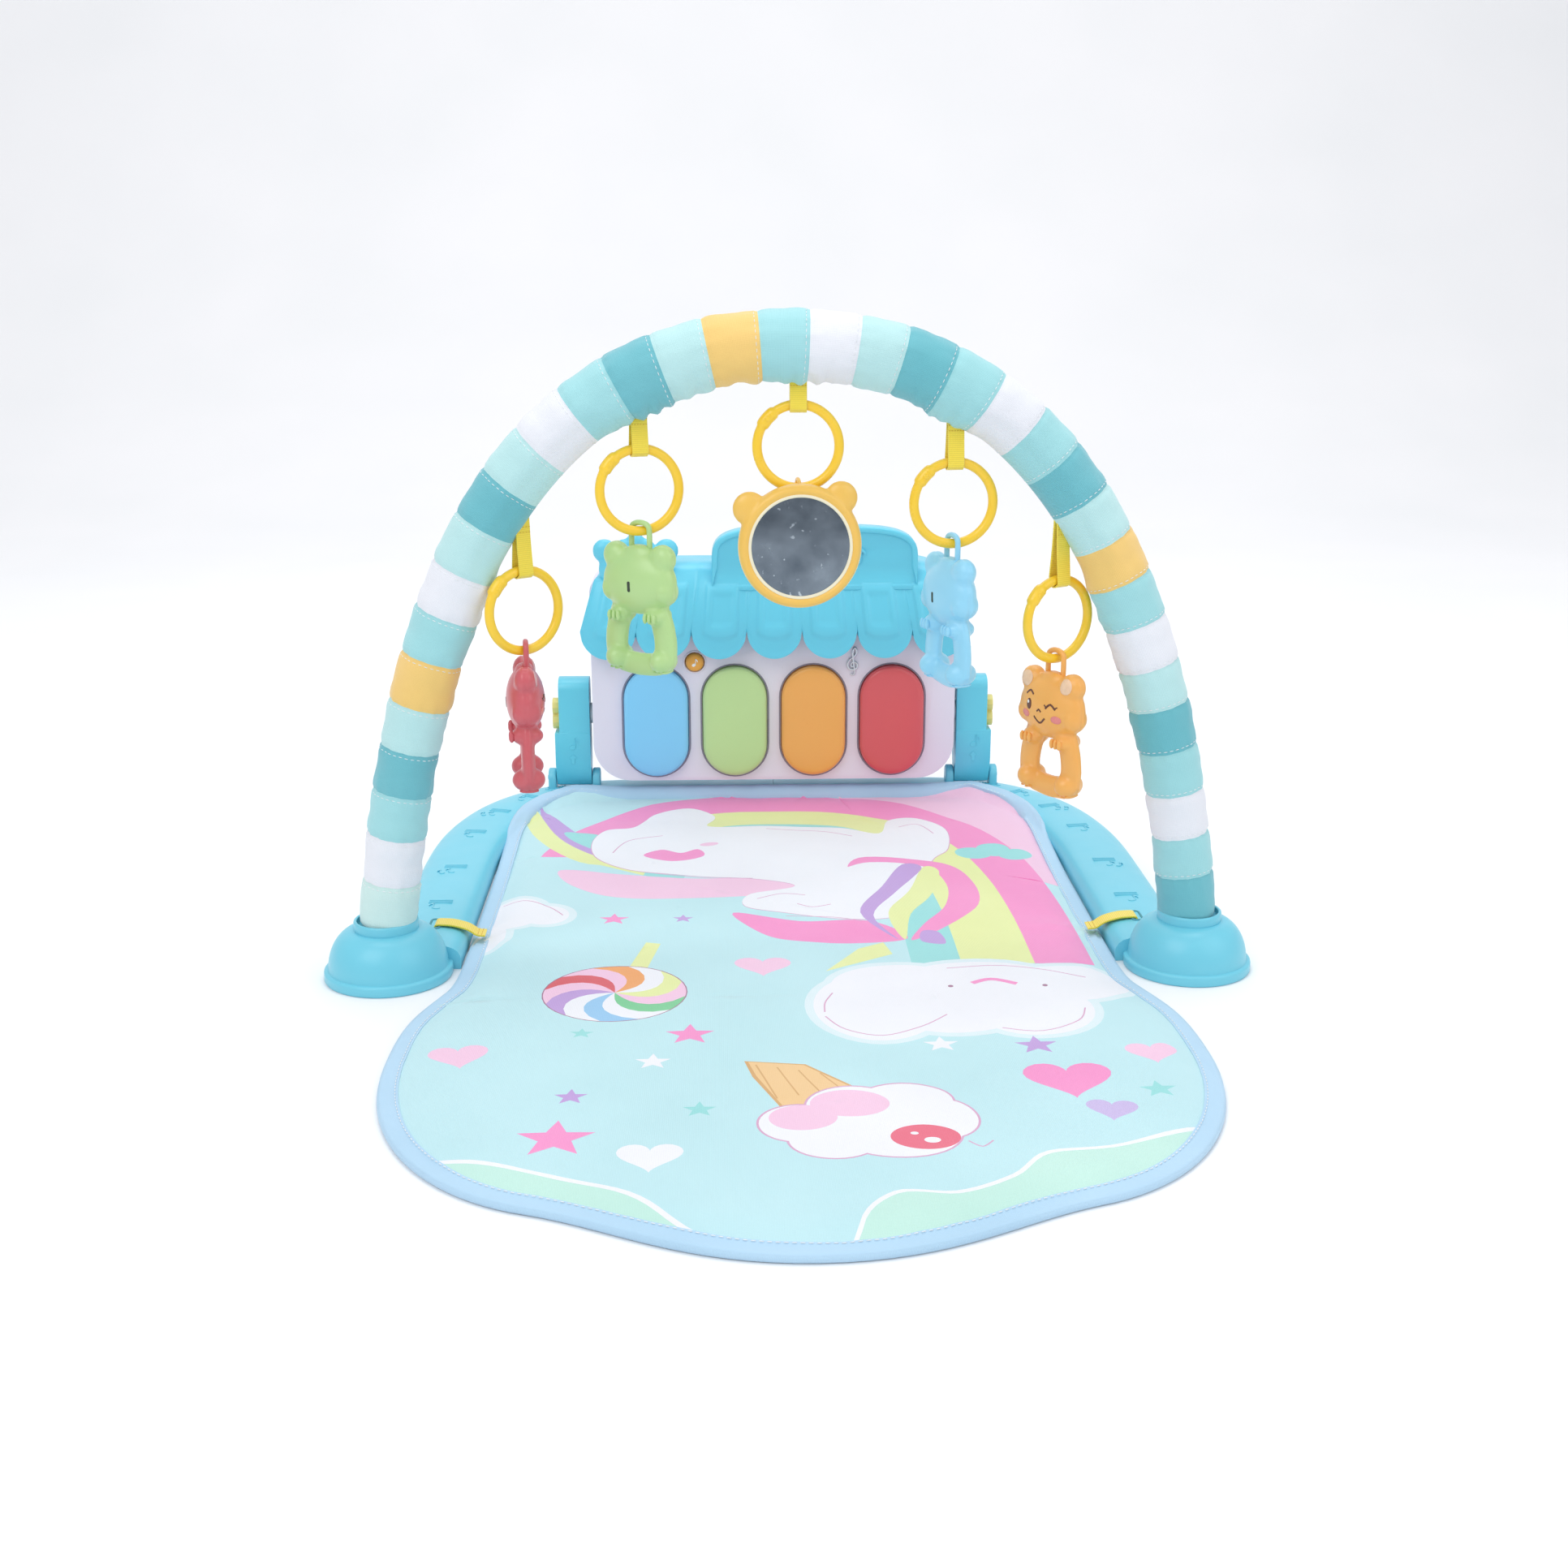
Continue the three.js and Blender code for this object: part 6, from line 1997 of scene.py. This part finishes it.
def make_roof():
    """The scalloped awning over the case, as a thin shell."""
    front = PANEL_FRONT - 0.3
    under = PANEL_TOP + 0.3
    knots = [
        (PANEL_BACK, under), (PANEL_BACK, ROOF_TOP - 6), (PANEL_BACK - 1.4, ROOF_TOP - 1.6),
        (PANEL_BACK - 6, ROOF_TOP), (front + 22, ROOF_TOP), (front + 8, ROOF_TOP - 0.4),
        (front + 0.5, ROOF_TOP - 4), (front - 4, ROOF_TOP - 13), (front - 8.4, ROOF_TOP - 27),
        (front - 12, ROOF_TOP - 43), (front - 13, ROOF_TOP - 58), (front - 12.4, ROOF_LOW),
    ]
    profile = [(a, b) for a, b, _ in smooth_loop([(p[0], p[1], 0) for p in knots], 7, False)]
    columns = LOBES * 36
    net = []
    for row in range(len(profile)):
        line = [awning_point(2 * c / columns - 1, row, profile) for c in range(columns + 1)]
        for end, sign in ((0, -1), (-1, 1)):
            x, y, z = line[end]
            tx = sign * min(abs(x), PANEL_HALF + 0.4)
            ty, tz = max(y, front), min(z, under)
            cheek = []
            for t in (0.04, 0.12, 0.5, 1.0):
                cheek.append((x + (tx - x) * t * t, y + (ty - y) * t, z + (tz - z) * t))
            line = cheek[::-1] + line if end == 0 else line + cheek
        net.append(line)
    points, faces = join_rings(net, False, False)
    roof = put_piece("roof_awning", points, faces, 50)
    probe = [
        p
        for p in roof.data.polygons
        if abs(p.center.x) < 0.06 and p.center.z < (ROOF_TOP - 30) * MM
    ]
    if sum(p.normal.y for p in probe) > 0:
        roof.data.flip_normals()
    wall = roof.modifiers.new("wall", "SOLIDIFY")
    wall.thickness = 1.8 * MM
    wall.offset = -1
    make_plain(roof)
    shade_smooth(roof.data, 50)
    settle(roof, ROOF_PLASTIC, "piano", "turquoise_plastic", "piano_roof")
    make_sign(front)
    make_figure(front)


def make_sign(front):
    """The rounded sign on the roof, with a rim and raised notes."""
    outline = [(SIGN_X - SIGN_HALF, SIGN_LOW), (SIGN_X + SIGN_HALF, SIGN_LOW)]
    for i in range(41):
        angle = math.pi * i / 40
        across_share = math.copysign(abs(math.cos(angle)) ** 0.5, math.cos(angle))
        outline.append(
            (
                SIGN_X + SIGN_HALF * across_share,
                SIGN_EAVE + SIGN_RISE * abs(math.sin(angle)) ** 0.5,
            )
        )
    y = front - 9
    board = stepped_relief(
        outline,
        [
            (0.6, front + 7.4), (0, front + 6.6), (0, y + 1.4), (0.4, y + 0.4), (1.2, y),
            (3.6, y), (4.2, y + 0.4), (4.6, y + 1.6), (5.2, y + 2.0),
        ],
    )
    sign = put_piece("roof_sign", *board, smooth_angle=45)
    settle(sign, ROOF_PLASTIC, "piano", "turquoise_plastic")
    marks = []
    for x, z, size in ((62, 196, 5.4), (8, 199, 5.0)):
        for shape in music_note(size):
            outline = [(x + a, z + b) for a, b in shape]
            marks.append(stepped_relief(outline, [(0, y + 2.4), (0, y + 0.8), (0.25, y + 0.5)]))
    for k in range(3):
        line = rounded_box_outline(13, 190 + 4 * k, 191.2 + 4 * k, 0.5, 0.5, 3)
        marks.append(
            stepped_relief(
                [(a + 36, b) for a, b in line], [(0, y + 2.4), (0, y + 1.2), (0.2, y + 1)]
            )
        )
    notes = put_piece("sign_notes", *merged(*marks))
    settle(notes, ROOF_PLASTIC, "piano", "turquoise_plastic")


def make_figure(front):
    """The small animal head on the roof."""
    y = front - 3
    parts = [
        ball((FIGURE_X, y, FIGURE_Z - 2), (28, 7, 20), 26),
        ball((FIGURE_X, y, FIGURE_Z + 19), (7, 4.6, 6.4)),
        ball((FIGURE_X - 8, y, FIGURE_Z + 16), (6, 4, 5)),
        ball((FIGURE_X + 8, y, FIGURE_Z + 16), (6, 4, 5)),
        ball((FIGURE_X, y - 4, FIGURE_Z - 9), (10, 5, 7)),
    ]
    for side in (-1, 1):
        parts.append(ball((FIGURE_X + side * 23, y, FIGURE_Z + 12), (9, 5, 9)))
    lump = soft_joined("roof_figure", parts, 1.3, 5)
    settle(lump, ROOF_PLASTIC, "piano", "turquoise_plastic")
    dots = []
    for side in (-1, 1):
        dots.append(ball((FIGURE_X + side * 11, y - 6.4, FIGURE_Z + 1), (1.8, 1.2, 2.4), 10))
        dots.append(ball((FIGURE_X + side * 4, y - 8.6, FIGURE_Z - 8), (1.2, 1, 1.8), 10))
    eyes = put_piece("figure_eyes", *merged(*dots), smooth_angle=70)
    settle(eyes, POST_PLASTIC, "piano", "turquoise_plastic")


def make_case():
    """Both shells, the battery cover, screws, speaker holes and the switch. The holes and the
    screws' cross recesses are dark shapes of painted shade.
    """
    shell = refined("piano_shell_front", "piano_front", 1.6, 3)
    settle(shell, PANEL_PLASTIC, "piano", "white_plastic", "piano_front")
    back = refined("piano_shell_back", "piano_back", 1.6, 3)
    settle(back, PANEL_PLASTIC, "piano", "white_plastic", "piano_back")
    door = refined("battery_cover", "battery_door", 0.6, 2)
    settle(door, PANEL_PLASTIC, "piano", "white_plastic", "battery_door")
    rib = []
    for k in range(6):
        outline = rounded_box_outline(9, 60 + 4 * k, 61.6 + 4 * k, 0.7, 0.7, 3)
        rib.append(
            stepped_relief(
                outline, [(0.2, PANEL_BACK + 0.75), (0, PANEL_BACK + 0.5), (0, PANEL_BACK - 0.6)]
            )
        )
    ribs = put_piece("cover_ribs", *merged(*rib))
    settle(ribs, PANEL_PLASTIC, "piano", "white_plastic")
    screws, holes = [], []
    head = [(0, 0.5), (1.9, 0.45), (2.5, 0.1), (2.6, -0.6), (0, -0.6)]
    spots = [(-120, 50), (120, 50), (-120, 150), (120, 150), (0, 112), (0, 38)]
    for x, z in spots:
        place = Matrix.Translation(
            (x, PANEL_BACK + 0.2, z)
        ) @ Matrix.Rotation(-math.pi / 2, 4, "X")
        screws.append(moved(turned(head, 24), place))
        # The cross recess of each screw is a dark shape of painted shade.
        for turn in (0, 90):
            bar = rounded_box_outline(0.35, -1.4, 1.4, 0.2, 0.2, 2)
            c, s = math.cos(math.radians(turn + 20)), math.sin(math.radians(turn + 20))
            cross = [(x + a * c - b * s, z + a * s + b * c) for a, b in bar]
            holes.append(stepped_relief(cross, [(0, PANEL_BACK + 0.74), (0, PANEL_BACK + 0.3)]))
    # The speaker holes are dark discs of painted shade, not openings.
    for ring, count in ((0, 1), (4.5, 6), (9, 12), (13.5, 18)):
        for i in range(count):
            angle = TAU * i / count
            x, z = SPEAKER_X + ring * math.cos(angle), SPEAKER_Z + ring * math.sin(angle)
            holes.append(
                stepped_relief(
                    oval(x, z, 1.1, 1.1, 0, 12), [(0, PANEL_BACK + 0.06), (0, PANEL_BACK - 0.5)]
                )
            )
    settle(put_piece("case_screws", *merged(*screws)), STEEL, "piano", "white_plastic")
    settle(put_piece("case_openings_painted_shade", *merged(*holes)), SLOT_AND_HOLE_PAINTED_SHADE, "piano", "white_plastic")
    slider = refined("switch_slider", "power_switch", 0.5, 2)
    settle(slider, RUBBER, "power_switch", "rubber", "power_switch")


def dress_insides():
    """The pieces that only show through gaps keep their CAD shapes with proper materials."""
    looks = {
        "arch_tube_left": TUBE_PLASTIC, "arch_tube_right": TUBE_PLASTIC,
        "arch_ferrule": CREAM_PLASTIC, "base_link": CREAM_PLASTIC, "key_pad": RUBBER,
        "circuit_board": BOARD, "speaker": RUBBER, "battery_cell_1": CELL, "battery_cell_2": CELL,
        "battery_cell_3": CELL, "bead_1": CREAM_PLASTIC, "bead_2": CREAM_PLASTIC,
        "bead_4": CREAM_PLASTIC, "bead_5": CREAM_PLASTIC,
    }
    for node, look in looks.items():
        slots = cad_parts[node].data.materials
        slots.clear()
        slots.append(look)


# ---- main ----

set_camera()
set_studio()
STITCH_TREE = stitch_tree()
THREAD_PALE = painted_finish("pale_thread", colour("f2f5f7"), 0.7)
THREAD_GOLD = painted_finish("gold_thread", colour("e0a92e"), 0.6)
FABRIC_MAT = cloth_finish("mat_cloth", PRINTS["ground"], "print", 0.0007)
FABRIC_BINDING = cloth_finish("binding_cloth", colour("b5daf3"), None, 0.0006)
FABRIC_SLEEVE = cloth_finish("sleeve_cloth", colour("9fdde2"), "bands")
WEBBING = webbing_finish("satin_webbing", WEBBING_YELLOW)
TURQUOISE_PLASTIC = moulded("turquoise_plastic", TURQUOISE, 0.36)
POST_PLASTIC = moulded("post_plastic", POST_TURQUOISE, 0.36)
ROOF_PLASTIC = moulded("roof_plastic", ROOF_TURQUOISE, 0.34)
PANEL_PLASTIC = moulded("panel_plastic", PANEL_LILAC, 0.32)
RING_PLASTIC = moulded("ring_plastic", RING_YELLOW, 0.28, 0.08, 0.3)
KNOB_PLASTIC = moulded("knob_plastic", KNOB_YELLOW, 0.4)
GREY_PLASTIC = moulded("washer_plastic", colour("d5dade"), 0.42)
CREAM_PLASTIC = moulded("cream_plastic", colour("f7efd2"), 0.36)
TUBE_PLASTIC = moulded("tube_plastic", colour("dfe4e8"), 0.42)
AMBER_PLASTIC = moulded("amber_plastic", colour("f6c65e"), 0.32)
BUTTON_PLASTIC = moulded("button_plastic", colour("f0ab45"), 0.34)
TOY_FINISH = {name: moulded(f"{name}_toy_plastic", tint, 0.3) for name, tint in PLASTICS.items()}
TOY_PALE = {
    name: painted_finish(f"{name}_ear_paint", (*[c + (1 - c) * 0.35 for c in tint[:3]], 1))
    for name, tint in PLASTICS.items()
}
FACE_INK = painted_finish("face_ink", colour("6b3d2c"))
CHEEK_INK = painted_finish("cheek_ink", colour("f08f8a"))
WHITE_INK = painted_finish("white_ink", colour("fbfbf8"))
# Painted shade: one flat dark colour for the shade inside the rattles' slots, the speaker holes
# and the screws' cross recesses.
SLOT_AND_HOLE_PAINTED_SHADE = painted_finish("slot_and_hole_painted_shade", colour("3f4a3e"), 0.7)
# Painted shade for the strap slots in the bars and the slits in the knobs.
SLOT_PAINTED_SHADE = painted_finish("slot_painted_shade", colour("4c97a6"), 0.6)
# Painted shade for the gap round each key.
KEY_GAP_PAINTED_SHADE = painted_finish("key_gap_painted_shade", colour("8f8a9c"), 0.6)
LAMP_RED = painted_finish("lamp_red", colour("c9404a"), 0.2)
RUBBER = moulded("grey_rubber", colour("4a4d50"), 0.75, 0.3, 0.0)
BOARD = moulded("circuit_laminate", colour("2c7a46"), 0.5)
CELL = moulded("cell_wrap", colour("3a3d41"), 0.4)
SILVER = metal_finish("silver_plate", colour("dfe2e8"), 0.4)
STEEL = metal_finish("screw_steel", colour("b4b8bc"), 0.3)
MIRROR = mirror_finish()

make_sleeve()
make_mat()
make_bars()
make_domes()
make_mat_straps()
make_stand()
make_case()
make_keys()
make_button()
make_clef()
make_roof()
for toy_number in range(1, 6):
    make_loop(toy_number)
    make_ring(toy_number)
    if toy_number == 3:
        make_mirror_toy()
    else:
        make_rattle(toy_number)
dress_insides()
